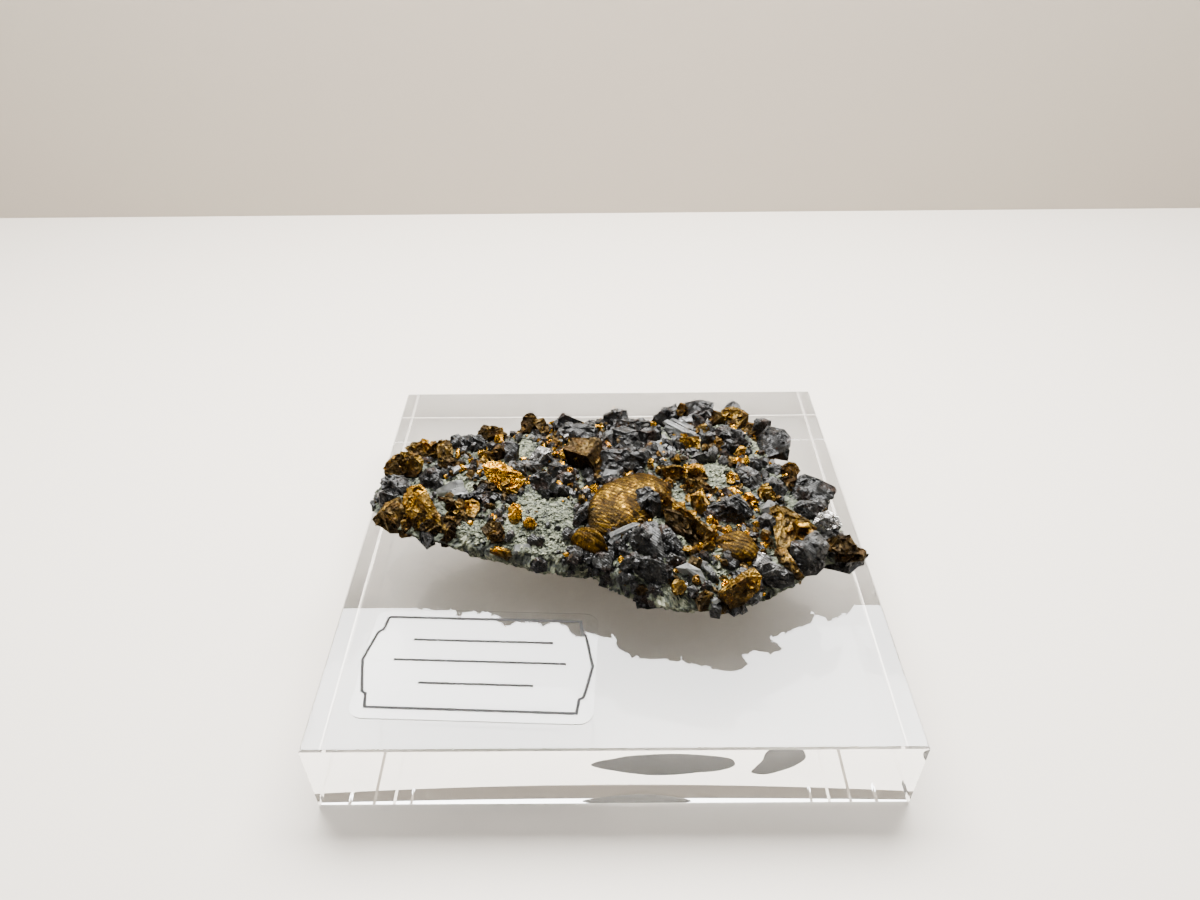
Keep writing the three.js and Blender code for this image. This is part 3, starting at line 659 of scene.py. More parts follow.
def barycentric(n):
    # the points of a triangle cut into n rows, as shares of its three corners, and its small triangles
    i, j = np.meshgrid(np.arange(n + 1), np.arange(n + 1), indexing="ij")
    keep = i + j <= n
    index = np.full((n + 1, n + 1), -1)
    index[keep] = np.arange(keep.sum())
    shares = np.stack([(n - i - j)[keep], i[keep], j[keep]], axis=-1) / n
    a, b, c = index[:-1, :-1], index[1:, :-1], index[:-1, 1:]
    first = np.stack([a, b, c], axis=-1)[(i + j)[:-1, :-1] < n]
    d = index[1:, 1:]
    second = np.stack([b, d, c], axis=-1)[(i + j)[:-1, :-1] < n - 1]
    return shares, np.concatenate([first, second])


def refined(fans, faces, centre, n, finish, seed):
    # every fan triangle cut into n rows; edges are rounded by moving them towards the middle, all points
    # are moved by one noise, and the insides of the faces get the finish's relief along their normal
    shares, small = barycentric(n)
    flat = np.einsum("gk,fkx->fgx", shares, fans)
    normals = np.cross(fans[:, 1] - fans[:, 0], fans[:, 2] - fans[:, 0])
    normals /= np.linalg.norm(normals, axis=1)[:, None] + 1e-12
    edge = fans[:, 2] - fans[:, 1]
    edge /= np.linalg.norm(edge, axis=1)[:, None] + 1e-12
    out = fans[:, 1] - fans[:, 0]
    reach = np.linalg.norm(out - np.sum(out * edge, axis=1)[:, None] * edge, axis=1)
    border = shares[:, 0] * reach[:, None]
    inwards = centre - flat
    inwards /= np.linalg.norm(inwards, axis=-1)[..., None] + 1e-9
    rounded = finish["round"] * (1 - smoothStep(0, finish["roundWidth"], border)) ** 2
    points = flat + inwards * rounded[..., None] + finish["wander"] * jitter(flat, finish["wanderSize"], seed)
    height = finish["relief"](flat, seed) * smoothStep(0, 0.3, border)
    points = points + normals[:, None, :] * height[..., None]
    count = len(shares)
    triangles = (small[None] + count * np.arange(len(fans))[:, None, None]).reshape(-1, 3)
    return points.reshape(-1, 3), triangles, np.repeat(faces, len(small))


def stripes(points, direction, pitch, seed, waviness):
    # the distance along a direction in units of the pitch, bent by noise
    along = points @ direction / pitch
    return along + waviness * noise(points, 3 * pitch, seed)


def brassRelief(points, seed):
    # growth lines, a saw-tooth of the distance along one direction, terraces across them, and hackly hollows
    direction = np.array([math.cos(seed), math.sin(seed), 0.4 * math.sin(2.3 * seed)])
    t = stripes(points, direction, 0.55, seed, 0.8)
    saw = t - np.floor(t)
    terrace = np.floor(stripes(points, direction[[1, 2, 0]], 1.3, seed + 3, 0.7))
    return (-0.08 * saw - 0.14 * np.abs(noise(points, 0.45, seed + 5)) - 0.16 * scatter(terrace, seed)
            - 0.2 * smoothStep(0.1, 0.7, noise(points, 1.5, seed + 9)))


def darkRelief(points, seed):
    # flat terraces at unequal heights along and across, and sharp grooves between them
    direction = np.array([math.cos(seed * 1.7), math.sin(seed * 1.7), 0.8 * math.sin(seed)])
    t = stripes(points, direction, 0.9, seed, 0.6)
    step = np.floor(t)
    across = np.floor(stripes(points, direction[[1, 2, 0]], 1.4, seed + 3, 0.5))
    level = scatter(step + 7 * across, seed)
    groove = 1 - smoothStep(0, 0.14, np.minimum(t - step, 1 - t + step))
    return 0.05 - 0.2 * level - 0.08 * groove - 0.07 * np.abs(noise(points, 0.4, seed + 5))


def quartzRelief(points, seed):
    # ridges of unequal width
    wave = noise(points * [1, 1, 0.3], 0.35, seed)
    return 0.05 * wave - 0.04


brassFinish = {"round": 0.07, "roundWidth": 0.2, "wander": 0.07, "wanderSize": 0.9, "relief": brassRelief}
darkFinish = {"round": 0.05, "roundWidth": 0.16, "wander": 0.06, "wanderSize": 1.1, "relief": darkRelief}
quartzFinish = {"round": 0.02, "roundWidth": 0.1, "wander": 0.02, "wanderSize": 1.2, "relief": quartzRelief}


finishes = {"brass": brassFinish, "dark": darkFinish, "quartz": quartzFinish}
usualForms = {"brass": "wedge", "dark": "block", "quartz": "prism"}


def formOf(kind, row):
    # a brassy crystal that is more than twice as wide as it is high is a slab
    return "slab" if kind == "brass" and max(row[3], row[4]) > 2 * row[5] else usualForms[kind]


# Larger crystals that stand out, as the camera sees them on enlarged parts of its view. Each part: the pixel
# of the 1200 pixels wide view at its upper left corner, and how many times it is enlarged.
enlarged = {
    "middle": (560, 440, 8), "lower": (560, 530, 8), "southEast": (750, 465, 9), "west": (375, 420, 9),
    "back": (540, 385, 6.5), "southWest": (425, 455, 8), "northEast": (680, 395, 8), "front": (590, 520, 8),
}
# Each crystal: kind, tone, and its corners as x and y there and a height that is guessed; only the
# differences between the heights count.
seenCrystals = {
    "middle": {
        "flatTop": ("brass", 0.3, [(35, 70, 24.2), (110, 0, 24.2), (310, 0, 24.2), (325, 15, 24),
            (215, 130, 24), (310, 240, 21.2), (340, 200, 21.2), (200, 215, 21.3), (120, 150, 22.4)]),
        "darkOnDome": ("dark", 0.12, [(570, 480, 23.2), (620, 400, 24.2), (700, 385, 24.4),
            (780, 430, 24.2), (800, 500, 23.6), (790, 600, 22), (700, 640, 21.6), (610, 640, 21.8),
            (580, 560, 22.4), (690, 470, 24.5)]),
        "ridge": ("brass", 0.55, [(780, 400, 23.8), (950, 550, 23.6), (1205, 790, 22.5), (1110, 810, 21.2),
            (960, 640, 21.8), (850, 560, 22)]),
        "greyUpright": ("dark", 0.3, [(650, 680, 22.8), (745, 660, 23.2), (800, 760, 22.4),
            (828, 930, 20.6), (760, 945, 20.2), (620, 900, 20.4), (560, 800, 21.6), (600, 720, 22.4)]),
        "blackHollow": ("dark", 0.08, [(800, 690, 22.4), (860, 690, 22.6), (930, 770, 22.6),
            (985, 850, 21.8), (930, 900, 21.2), (840, 920, 20.8), (800, 850, 21.2)]),
        "northSlate": ("dark", 0.3, [(345, 90, 23), (500, 75, 23.4), (640, 100, 23.2), (700, 110, 23),
            (690, 170, 22.2), (560, 215, 21.6), (520, 250, 21), (340, 230, 21.2)]),
        "eastSlate": ("dark", 0.35, [(1200, 520, 22.4), (1300, 480, 23), (1420, 440, 23.2),
            (1480, 500, 22.8), (1540, 590, 21.6), (1440, 625, 21), (1300, 640, 20.8), (1195, 590, 21.4)]),
        "goldNorthA": ("brass", 0.5, [(815, 225, 22.6), (900, 200, 23), (962, 210, 22.8),
            (1012, 245, 22.2), (960, 305, 21.2), (900, 325, 20.8), (830, 275, 21.6)]),
        "goldNorthB": ("brass", 0.75, [(1005, 225, 22.6), (1060, 190, 23), (1140, 205, 22.9),
            (1165, 260, 22.2), (1130, 325, 21.2), (1030, 290, 21.4)]),
        "goldStriped": ("brass", 0.6, [(1055, 440, 22.8), (1130, 400, 23.2), (1170, 470, 22.6),
            (1212, 540, 21.6), (1180, 605, 20.8), (1090, 575, 21), (1045, 500, 21.8)]),
        "tanNorth": ("brass", 0.62, [(955, -20, 23.4), (1110, -30, 23.6), (1118, 60, 22.4),
            (1050, 85, 21.8), (965, 50, 22.2)]),
        "goldUpright": ("brass", 0.85, [(695, 190, 0.9), (710, 150, 1.3), (745, 155, 1.3), (755, 215, 0.9),
            (735, 260, 0), (700, 255, 0.1)]),
        "rustPrism": ("brass", 0.2, [(835, 560, 22.6), (900, 540, 22.8), (960, 640, 22), (1100, 810, 20.8),
            (1060, 830, 20.4), (940, 720, 21), (850, 640, 21.6)]),
    },
    "lower": {
        "fanPlate": ("dark", 0.25, [(580, 230, 22.6), (610, 205, 22.9), (700, 220, 22.9), (885, 290, 22.3),
            (900, 312, 22), (860, 370, 21), (830, 425, 20), (770, 440, 19.8), (700, 400, 20.2),
            (630, 320, 21.2)]),
        "lobeDarkA": ("dark", 0.38, [(250, 225, 22), (320, 180, 22.6), (385, 190, 22.6), (412, 240, 22.2),
            (400, 312, 21.2), (340, 315, 21), (270, 290, 21)]),
        "lobeDarkB": ("dark", 0.22, [(400, 240, 21.8), (452, 280, 21.6), (470, 380, 20.4),
            (440, 425, 19.8), (380, 462, 19.2), (310, 440, 19.4), (350, 390, 20.2), (375, 310, 21.2)]),
        "bottomLump": ("dark", 0.3, [(618, 570, 20), (660, 520, 21), (740, 460, 21.6), (800, 470, 21.6),
            (825, 560, 20.6), (832, 612, 19.8), (700, 630, 19.2), (630, 600, 19.4)]),
        "oliveSouth": ("brass", 0.5, [(1290, 500, 21.4), (1400, 440, 22.4), (1450, 350, 23.2),
            (1540, 310, 23.2), (1600, 380, 22.6), (1590, 470, 21.4), (1500, 560, 20), (1400, 610, 19.2),
            (1330, 620, 19), (1270, 560, 20)]),
    },
    "southEast": {
        "slateTwin": ("dark", 0.55, [(510, 650, 23.6), (590, 590, 23.9), (700, 700, 23.4), (690, 790, 22.4),
            (660, 870, 21), (600, 800, 22.6), (560, 700, 23.6)]),
        "slateDarkLeft": ("dark", 0.2, [(370, 700, 22.8), (430, 680, 23.2), (540, 690, 23.4),
            (600, 800, 22.6), (560, 890, 21.6), (460, 900, 21), (400, 830, 21.6)]),
        "slateDarkFoot": ("dark", 0.15, [(450, 900, 21.2), (560, 870, 21.8), (650, 870, 21.4),
            (665, 920, 20.6), (600, 990, 19.6), (500, 1000, 19.4), (440, 950, 20.2)]),
        "silverEast": ("dark", 1, [(575, 520, 22), (620, 440, 23), (690, 415, 23.3), (770, 450, 23.2),
            (815, 520, 22.4), (790, 590, 21.4), (680, 600, 21.2), (610, 570, 21.4)]),
        "silverSouthA": ("dark", 0.9, [(50, 800, 22.8), (110, 790, 23), (180, 830, 22.8), (200, 870, 22.4),
            (70, 915, 22.2), (30, 900, 22.2)]),
        "silverSouthB": ("dark", 0.75, [(60, 915, 22.2), (200, 870, 22.6), (290, 920, 22.2),
            (240, 945, 21.4), (90, 985, 21.2)]),
        "greyUnderSilver": ("dark", 0.35, [(110, 990, 21.4), (290, 930, 22), (350, 960, 21.8),
            (370, 1060, 20.2), (280, 1110, 19.6), (150, 1080, 19.8)]),
        "brassyPlate": ("brass", 0.43, [(210, 400, 23), (330, 390, 23.4), (460, 470, 23.4), (590, 570, 23),
            (560, 640, 22.4), (400, 700, 21.8), (300, 770, 21), (235, 640, 21.8), (205, 480, 22.6)]),
        "brassyLower": ("brass", 0.4, [(230, 760, 21.6), (330, 760, 21.8), (400, 870, 21.4),
            (480, 1000, 20), (430, 1030, 19.6), (300, 930, 20.2), (220, 850, 20.8)]),
        "brownCube": ("brass", 0.2, [(760, 650, 23), (900, 630, 23.2), (975, 780, 21.8), (870, 790, 22),
            (800, 790, 21.8), (740, 740, 22.2)]),
        "brownPlates": ("dark", 0.25, [(760, 800, 21.6), (870, 790, 21.8), (1040, 800, 21.6),
            (1010, 870, 20.8), (900, 975, 19.6), (830, 960, 19.6), (765, 900, 20.2)]),
        "starPlate": ("dark", 0.3, [(450, 130, 23), (500, 85, 23.6), (560, 120, 23.4), (600, 180, 23.2),
            (740, 190, 22.8), (755, 230, 22.2), (660, 330, 21.2), (560, 300, 21.6), (460, 250, 22.2)]),
        "eastPlates": ("dark", 0.35, [(400, 380, 22), (450, 320, 22.6), (560, 350, 22.6), (650, 330, 22.4),
            (690, 370, 22), (600, 430, 21.4), (500, 470, 20.9), (420, 440, 21.2)]),
    },
    "west": {
        "nwTop": ("brass", 0.5, [(275, 250, 21.8), (330, 225, 22.4), (420, 190, 23), (565, 235, 22.8),
            (545, 290, 22), (440, 335, 21.2), (330, 310, 21.4)]),
        "nwFront": ("brass", 0.5, [(140, 350, 21.4), (210, 305, 22), (300, 290, 22.4), (400, 320, 22.4),
            (430, 370, 21.8), (420, 440, 20.8), (360, 505, 19.8), (280, 500, 19.6), (190, 450, 20.2)]),
        "nwLeft": ("brass", 0.35, [(80, 470, 19.8), (95, 390, 20.8), (140, 355, 21.4), (210, 420, 21),
            (250, 480, 20.2), (180, 515, 19.4), (105, 515, 19)]),
        "nwEast": ("brass", 0.3, [(560, 240, 22.2), (640, 180, 22.8), (690, 220, 22.6), (700, 320, 21.6),
            (640, 380, 20.8), (570, 400, 20.6)]),
        "westSlateA": ("dark", 0.3, [(50, 570, 20.6), (110, 535, 21.2), (210, 520, 21.6), (270, 560, 21.4),
            (270, 640, 20.6), (170, 640, 20.2)]),
        "westSlateB": ("dark", 0.28, [(15, 700, 19.8), (50, 640, 20.6), (130, 620, 21.2), (160, 680, 20.6),
            (110, 740, 19.8), (50, 780, 19)]),
        "westDark": ("dark", 0.2, [(400, 520, 21.4), (460, 440, 22.4), (530, 440, 22.6), (570, 500, 22),
            (620, 590, 21), (540, 620, 20.6), (430, 600, 20.6)]),
        "tongue": ("brass", 0.7, [(290, 660, 22.2), (340, 610, 22.8), (400, 600, 23), (450, 640, 22.8),
            (480, 720, 22.2), (550, 820, 21), (600, 930, 20), (580, 1000, 19.4), (390, 960, 20),
            (320, 1000, 19), (250, 1050, 18.2), (225, 1030, 18.2), (240, 880, 20), (240, 780, 21)]),
        "westEnd": ("brass", 0.4, [(0, 870, 19.4), (60, 800, 20.4), (130, 740, 21.2), (220, 700, 21.8),
            (250, 800, 21.2), (220, 900, 20.2), (230, 1010, 18.8), (130, 1010, 18.4), (40, 950, 18.6)]),
        "rustFoot": ("brass", 0.3, [(590, 880, 20.8), (700, 870, 21), (770, 940, 20.6), (740, 1040, 19.6),
            (640, 1140, 18.4), (600, 1130, 18.4)]),
        "brownBlade": ("brass", 0.35, [(580, 710, 21), (640, 700, 21.6), (740, 740, 21.6),
            (820, 840, 20.8), (830, 910, 20.2), (780, 900, 20), (700, 820, 20.4), (590, 770, 20.4)]),
        "goldPink": ("brass", 0.8, [(800, 740, 21), (870, 710, 21.6), (930, 740, 21.6), (940, 800, 21),
            (890, 870, 20.4), (830, 860, 20.4)]),
        "northBrown": ("brass", 0.35, [(960, 120, 23), (1040, 65, 23.8), (1140, 70, 24), (1165, 130, 23.4),
            (1080, 160, 22.6), (1000, 180, 22.2)]),
        "northDark": ("dark", 0.25, [(690, 190, 22.4), (800, 140, 23), (950, 140, 23), (980, 190, 22.4),
            (900, 235, 21.8), (800, 240, 21.6), (700, 260, 21.4)]),
        "northDome": ("brass", 0.2, [(1060, 260, 22.6), (1110, 220, 23), (1160, 240, 22.8),
            (1180, 300, 22), (1130, 370, 21), (1080, 340, 21.4)]),
        "northTall": ("dark", 0.3, [(1170, 200, 22.8), (1240, 190, 23), (1300, 230, 22.6),
            (1270, 310, 21.6), (1220, 380, 20.8), (1170, 370, 21)]),
    },
    "back": {
        "backPyramid": ("dark", 0.2, [(90, 250, 23.2), (145, 190, 24.4), (270, 240, 23.2),
            (200, 285, 22.2), (100, 290, 21.8)]),
        "backDark": ("dark", 0.3, [(415, 200, 23.8), (490, 155, 24.4), (560, 165, 24.2), (575, 240, 22.8),
            (500, 275, 22), (430, 265, 22.2)]),
        "backSlab": ("dark", 0.35, [(710, 255, 22.8), (790, 170, 24), (880, 125, 24.4), (895, 190, 23.4),
            (840, 235, 22.6), (760, 275, 22)]),
    },
    "southWest": {
        "quartzBlock": ("quartz", 0.5, [(100, 300, 22), (150, 260, 22.4), (240, 215, 22.6),
            (250, 235, 22.2), (200, 290, 21.8), (115, 325, 21.4)]),
        "pinkMain": ("brass", 0.85, [(470, 90, 23.6), (520, 60, 24), (620, 70, 24), (760, 150, 23.6),
            (790, 190, 23), (730, 290, 21.6), (640, 300, 21.4), (590, 210, 22.2), (520, 210, 22),
            (485, 150, 22.8)]),
        "goldNugget": ("brass", 0.95, [(670, 420, 22.8), (710, 385, 23.2), (760, 400, 23),
            (775, 470, 22.2), (750, 540, 21.2), (700, 560, 21), (665, 500, 21.8)]),
        "goldBead": ("brass", 0.9, [(780, 540, 21.8), (810, 500, 22.4), (850, 495, 22.5), (885, 530, 22),
            (860, 575, 21.2), (810, 590, 20.9)]),
        "lowGold": ("brass", 0.85, [(515, 780, 21.4), (555, 730, 22.2), (610, 740, 22.4), (655, 780, 21.8),
            (650, 840, 20.8), (570, 810, 20.9)]),
        "brownDiamond": ("dark", 0.28, [(830, 890, 20.6), (870, 830, 21.6), (920, 815, 21.8),
            (975, 860, 21.2), (965, 930, 20.2), (890, 945, 19.8)]),
        "brownHeapA": ("brass", 0.25, [(450, 590, 21.4), (530, 530, 22.4), (600, 540, 22.6),
            (640, 620, 21.8), (630, 680, 21), (540, 700, 20.8), (500, 650, 21)]),
        "darkWedgeMid": ("dark", 0.12, [(290, 370, 21.8), (400, 290, 22.6), (520, 290, 22.6),
            (500, 350, 21.8), (400, 380, 21.4), (310, 390, 21.4)]),
        "slateNorthWest": ("dark", 0.25, [(840, 180, 23), (900, 140, 23.6), (980, 150, 23.6),
            (1060, 240, 22.6), (1050, 300, 21.8), (930, 310, 21.4), (860, 260, 21.8)]),
        "blackGlass": ("dark", 0.1, [(1180, 550, 21.4), (1200, 470, 22.4), (1260, 400, 23),
            (1300, 400, 23), (1290, 500, 21.8), (1220, 570, 21)]),
        "darkPebble": ("dark", 0.1, [(1030, 580, 21.4), (1060, 560, 21.8), (1088, 575, 21.6),
            (1080, 605, 21.2), (1045, 610, 21)]),
    },
    "northEast": {
        "neTopDark": ("dark", 0.36, [(50, 60, 1.6), (150, 40, 2.1), (260, 70, 1.9), (255, 110, 1.5),
            (210, 150, 0.1), (110, 150, 0), (60, 120, 0.5)]),
        "neTopRust": ("brass", 0.5, [(80, 95, 2), (130, 55, 2.4), (200, 80, 2.3), (205, 130, 1.2),
            (140, 145, 0.7), (90, 130, 1)]),
        "neRustWest": ("brass", 0.4, [(255, 120, 1.5), (330, 140, 1.9), (370, 190, 1.6), (350, 250, 0.2),
            (300, 240, 0), (270, 180, 0.7)]),
        "neRust": ("brass", 0.45, [(340, 120, 2), (430, 95, 2.5), (500, 130, 2.4), (540, 190, 1.6),
            (530, 260, 0.2), (450, 230, 0), (370, 170, 1)]),
        "neRustEast": ("brass", 0.42, [(540, 210, 1.1), (600, 230, 1.4), (635, 265, 1.1), (600, 310, 0),
            (540, 270, 0.1), (520, 230, 0.6)]),
        "neKnob": ("dark", 0.36, [(395, 60, 2.9), (430, 45, 3.2), (475, 70, 3.2), (490, 115, 2.5),
            (450, 105, 2.4), (400, 90, 2.4)]),
        "neBlock": ("dark", 0.26, [(665, 300, 1.4), (705, 250, 1.9), (780, 268, 2), (850, 300, 1.8),
            (878, 335, 1.4), (868, 420, 0.1), (840, 445, 0), (780, 435, 0.2), (655, 400, 0)]),
        "neHeartLeft": ("dark", 0.4, [(320, 310, 1.4), (350, 280, 1.8), (400, 265, 2), (410, 330, 1.7),
            (390, 385, 0.1), (345, 355, 0)]),
        "neHeartRight": ("dark", 0.38, [(395, 275, 1.7), (470, 295, 1.8), (540, 375, 1), (520, 400, 0.3),
            (440, 400, 0), (400, 370, 0.2)]),
        "neGreyBlock": ("dark", 0.32, [(170, 320, 1.2), (230, 290, 1.7), (285, 320, 1.5), (280, 370, 0.8),
            (220, 410, 0), (170, 370, 0.4)]),
        "neTanBlock": ("brass", 0.55, [(5, 380, 1.1), (60, 345, 1.6), (150, 350, 1.5), (155, 440, 0),
            (80, 430, 0), (20, 400, 0.5)]),
        "neStick": ("dark", 0.4, [(235, 520, 0), (245, 430, 0.8), (290, 420, 1.2), (305, 450, 1.1),
            (280, 520, 0.1)]),
        "neGreyLow": ("dark", 0.42, [(90, 500, 0.7), (130, 455, 1.1), (200, 470, 1), (225, 510, 0.5),
            (180, 530, 0), (110, 530, 0.1)]),
        "neGoldA": ("brass", 0.62, [(430, 470, 0.3), (480, 400, 1.1), (530, 420, 1), (520, 460, 0.4),
            (470, 490, 0)]),
        "neGoldB": ("brass", 0.7, [(50, 600, 0.7), (110, 550, 1.1), (180, 560, 1), (190, 610, 0.4),
            (150, 640, 0), (70, 640, 0)]),
        "neStriped": ("brass", 0.75, [(370, 650, 0.5), (410, 610, 1), (460, 640, 0.9), (470, 690, 0.1),
            (410, 710, 0), (370, 690, 0.1)]),
        "neSlateC": ("dark", 0.36, [(555, 510, 0.9), (600, 490, 1.3), (650, 520, 1.2), (660, 570, 0.2),
            (600, 590, 0), (560, 560, 0.3)]),
        "neSlateD": ("dark", 0.4, [(490, 660, 0.9), (540, 610, 1.5), (600, 620, 1.4), (650, 660, 0.9),
            (640, 720, 0.1), (580, 750, 0), (520, 720, 0.2)]),
        "neSlateE": ("dark", 0.36, [(680, 600, 0.5), (740, 550, 1.1), (800, 580, 1), (820, 630, 0.1),
            (740, 630, 0)]),
        "neRound": ("brass", 0.28, [(800, 580, 1.1), (850, 545, 1.5), (910, 560, 1.4), (940, 620, 0.7),
            (930, 680, 0.1), (870, 700, 0), (810, 650, 0.4)]),
        "neSlateF": ("dark", 0.33, [(670, 700, 1), (740, 660, 1.4), (800, 700, 1.1), (860, 760, 0.3),
            (820, 800, 0), (740, 790, 0.1)]),
        "neOlive": ("brass", 0.48, [(620, 760, 1), (680, 710, 1.5), (730, 750, 1.2), (760, 830, 0.1),
            (700, 860, 0), (620, 830, 0.2)]),
    },
    "front": {
        "frontQuartz": ("quartz", 0.5, [(700, 380, 1.2), (780, 345, 1.5), (880, 400, 1), (915, 470, 0.2),
            (890, 490, 0), (830, 430, 0.5), (750, 410, 0.9)]),
        "frontGlass": ("dark", 0.72, [(610, 300, 1), (650, 265, 1.5), (700, 290, 1.4), (720, 340, 0.3),
            (680, 360, 0), (635, 340, 0.4)]),
        "frontGold": ("brass", 0.62, [(650, 520, 0.9), (690, 470, 1.5), (740, 500, 1.3), (770, 540, 0.6),
            (740, 590, 0), (680, 600, 0)]),
        "frontGoldSmall": ("brass", 0.75, [(820, 440, 0.8), (870, 440, 1), (895, 500, 0.2), (860, 520, 0),
            (815, 490, 0.2)]),
        "frontSlate": ("dark", 0.36, [(780, 540, 0.8), (830, 520, 1.1), (880, 560, 0.5), (860, 600, 0.1),
            (810, 620, 0)]),
        "frontOrange": ("brass", 0.88, [(1050, 520, 0.9), (1080, 475, 1.4), (1130, 480, 1.5),
            (1165, 530, 1.1), (1145, 580, 0.2), (1085, 590, 0)]),
        "frontBrown": ("brass", 0.42, [(360, 560, 0.6), (390, 520, 1.1), (440, 515, 1.1), (470, 560, 0.7),
            (450, 600, 0.1), (385, 605, 0)]),
        "frontOlive": ("brass", 0.6, [(900, 200, 0.8), (930, 165, 1.4), (985, 170, 1.4), (1005, 215, 0.9),
            (975, 255, 0), (915, 250, 0.1)]),
        "frontBead": ("brass", 0.8, [(975, 20, 0.5), (990, -5, 1), (1020, 0, 1), (1030, 35, 0.5),
            (1005, 60, 0)]),
        "frontRust": ("brass", 0.48, [(840, 640, 0.9), (920, 560, 1.9), (990, 590, 1.6), (1000, 640, 0.9),
            (940, 720, 0), (880, 730, 0)]),
    },
}


def raysThrough(pixels):
    # the directions in which the camera sees the pixels, each one unit long along its axis
    right, up, ahead = cameraAxes()
    away = (pixels - np.array([view["imageWidth"], view["imageHeight"]]) / 2) / view["focal"]
    return ahead + away[:, :1] * right - away[:, 1:] * up


def atHeight(rays, height):
    # where the rays pass those heights
    place = np.array(view["place"])
    return place + rays * ((height - place[2]) / rays[:, 2])[:, None]


rayReach = (90, 180, 0.1)  # where along a ray from the camera the stone is looked for: from, to, step
outsideSlope = 20  # how many millimetres a point beyond the edge is from the stone, for each radius


def levelMet(ray):
    # the height at which a ray from the camera first meets the stone, or else comes nearest to it
    points = np.array(view["place"]) + np.arange(*rayReach)[:, None] * ray
    x, y, z = points.T
    outside = outsideSlope * (shareOfRadius(x, y) - 1)
    gap = np.maximum(np.maximum(z - stoneTop(x, y), stoneUnderside(x, y) - z), outside)
    return z[np.argmax(gap < 0) if (gap < 0).any() else np.argmin(gap)]


def readings(corners, part):
    # the rays and the heights of points that were read on that enlarged part
    x, y, scale = enlarged[part]
    seen = np.array(corners, float)
    return raysThrough(np.array([x, y]) + seen[:, :2] / scale), seen[:, 2]


# A cut crystal: how far over the stone its lowest corner lies, how much larger than its corners it is made,
# its foot's share of that and of the stone's radius, how thick it is at least, how far its crest moves aside
# and rises, the cosine of 17 degrees, within which two of its planes count as one, and how far its corners
# may reach beyond the box of its points.
cutShape = {
    "clear": 0.35, "growth": 1.1, "foot": 0.74, "footReach": 0.92, "least": 0.2, "crestAside": 0.25,
    "crestRise": 0.07, "alike": 0.956, "overshoot": 1.08,
}


def standing(corners, part):
    # a crystal's corners in millimetres: the lowest lies just over the place where its ray meets the stone
    rays, height = readings(corners, part)
    height = height - height.min()
    return atHeight(rays, levelMet(rays[np.argmin(height)]) + cutShape["clear"] + height)


cutCrystals = [(kind, tone, standing(corners, part)) for part, group in seenCrystals.items()
               for kind, tone, corners in group.values()]


def rooted(corners, seed):
    # the corners, a crest over their middle, and a narrower foot that reaches into the stone
    random = np.random.default_rng(seeds["rooted"] + seed)
    middle = np.mean(corners, axis=0)
    corners = middle + cutShape["growth"] * (corners - middle)
    foot = middle + cutShape["foot"] * (corners - middle)
    foot[:, :2] *= np.minimum(1, cutShape["footReach"] / shareOfRadius(foot[:, 0], foot[:, 1]))[:, None]
    ground = stoneTop(foot[:, 0], foot[:, 1]) + lumps(foot[:, 0], foot[:, 1]) - rootDepth
    foot[:, 2] = np.minimum(ground, corners[:, 2] - cutShape["least"])
    crest = middle + cutShape["crestAside"] * random.uniform(-1, 1, 3) * np.ptp(corners, axis=0)
    crest[2] = corners[:, 2].max() + random.uniform(0, cutShape["crestRise"]) * np.ptp(corners[:, 0])
    return np.concatenate([corners, foot, [crest]])


def hullPlanes(corners):
    # the planes through three corners that leave all others on one side, the largest triangles first; one
    # that turns less than 17 degrees from a plane already taken is left out
    threes = np.array(list(combinations(range(len(corners)), 3)))
    a, b, c = (corners[threes[:, k]] for k in range(3))
    normals = np.cross(b - a, c - a)
    size = np.linalg.norm(normals, axis=1)
    normals /= size[:, None] + 1e-12
    reach = normals @ corners.T - np.sum(normals * a, axis=1)[:, None]
    outwards = np.where(reach.max(axis=1) < 1e-6, 1, np.where(reach.min(axis=1) > -1e-6, -1, 0))
    keep = (outwards != 0) & (size > 1e-3)
    normals, a, size = (normals * outwards[:, None])[keep], a[keep], size[keep]
    taken = []
    for k in np.argsort(-size):
        if all(normals[k] @ normals[m] < cutShape["alike"] for m in taken):
            taken.append(k)
    return normals[taken], np.sum(normals * a, axis=1)[taken]


def cutFans(corners, seed):
    # the hull of the rooted corners, held within a box a little larger than theirs
    points = rooted(corners, seed)
    middle = points.mean(axis=0)
    fans, faces = fansOf(*hullPlanes(points - middle))
    low, high = (points - middle).min(axis=0), (points - middle).max(axis=0)
    return np.clip(fans, cutShape["overshoot"] * low, cutShape["overshoot"] * high) + middle, faces, middle


def offshoots(fans, row, seed, count):
    # smaller crystals on the upper faces of a crystal, half sunk, some parallel to it and some not
    random = np.random.default_rng(seed)
    normals = np.cross(fans[:, 1] - fans[:, 0], fans[:, 2] - fans[:, 0])
    area = np.linalg.norm(normals, axis=1)
    weight = area * (normals[:, 2] / (area + 1e-9) > -0.15)
    size = max(row[3], row[4])
    made = []
    for k, fan in enumerate(random.choice(len(fans), count, p=weight / weight.sum())):
        a, b = random.uniform(0.1, 0.75, 2)
        shares = np.array([1 - max(a, b), min(a, b), abs(a - b)])
        spot = shares @ fans[fan]
        part = min(size * random.uniform(0.2, 0.48), 2.4)
        box = part * random.uniform(0.5, 1.1, 3)
        turn = row[6] + (random.uniform(-10, 10) if random.random() < 0.7 else random.uniform(0, 360))
        spot = spot - normals[fan] / area[fan] * box[2] * 0.27
        tone = np.clip(row[8] + random.uniform(-0.22, 0.22), 0, 1)
        made.append((spot, box, turn, random.uniform(-25, 25), tone, seeds["offshoot"] + 10 * seed + k))
    return made


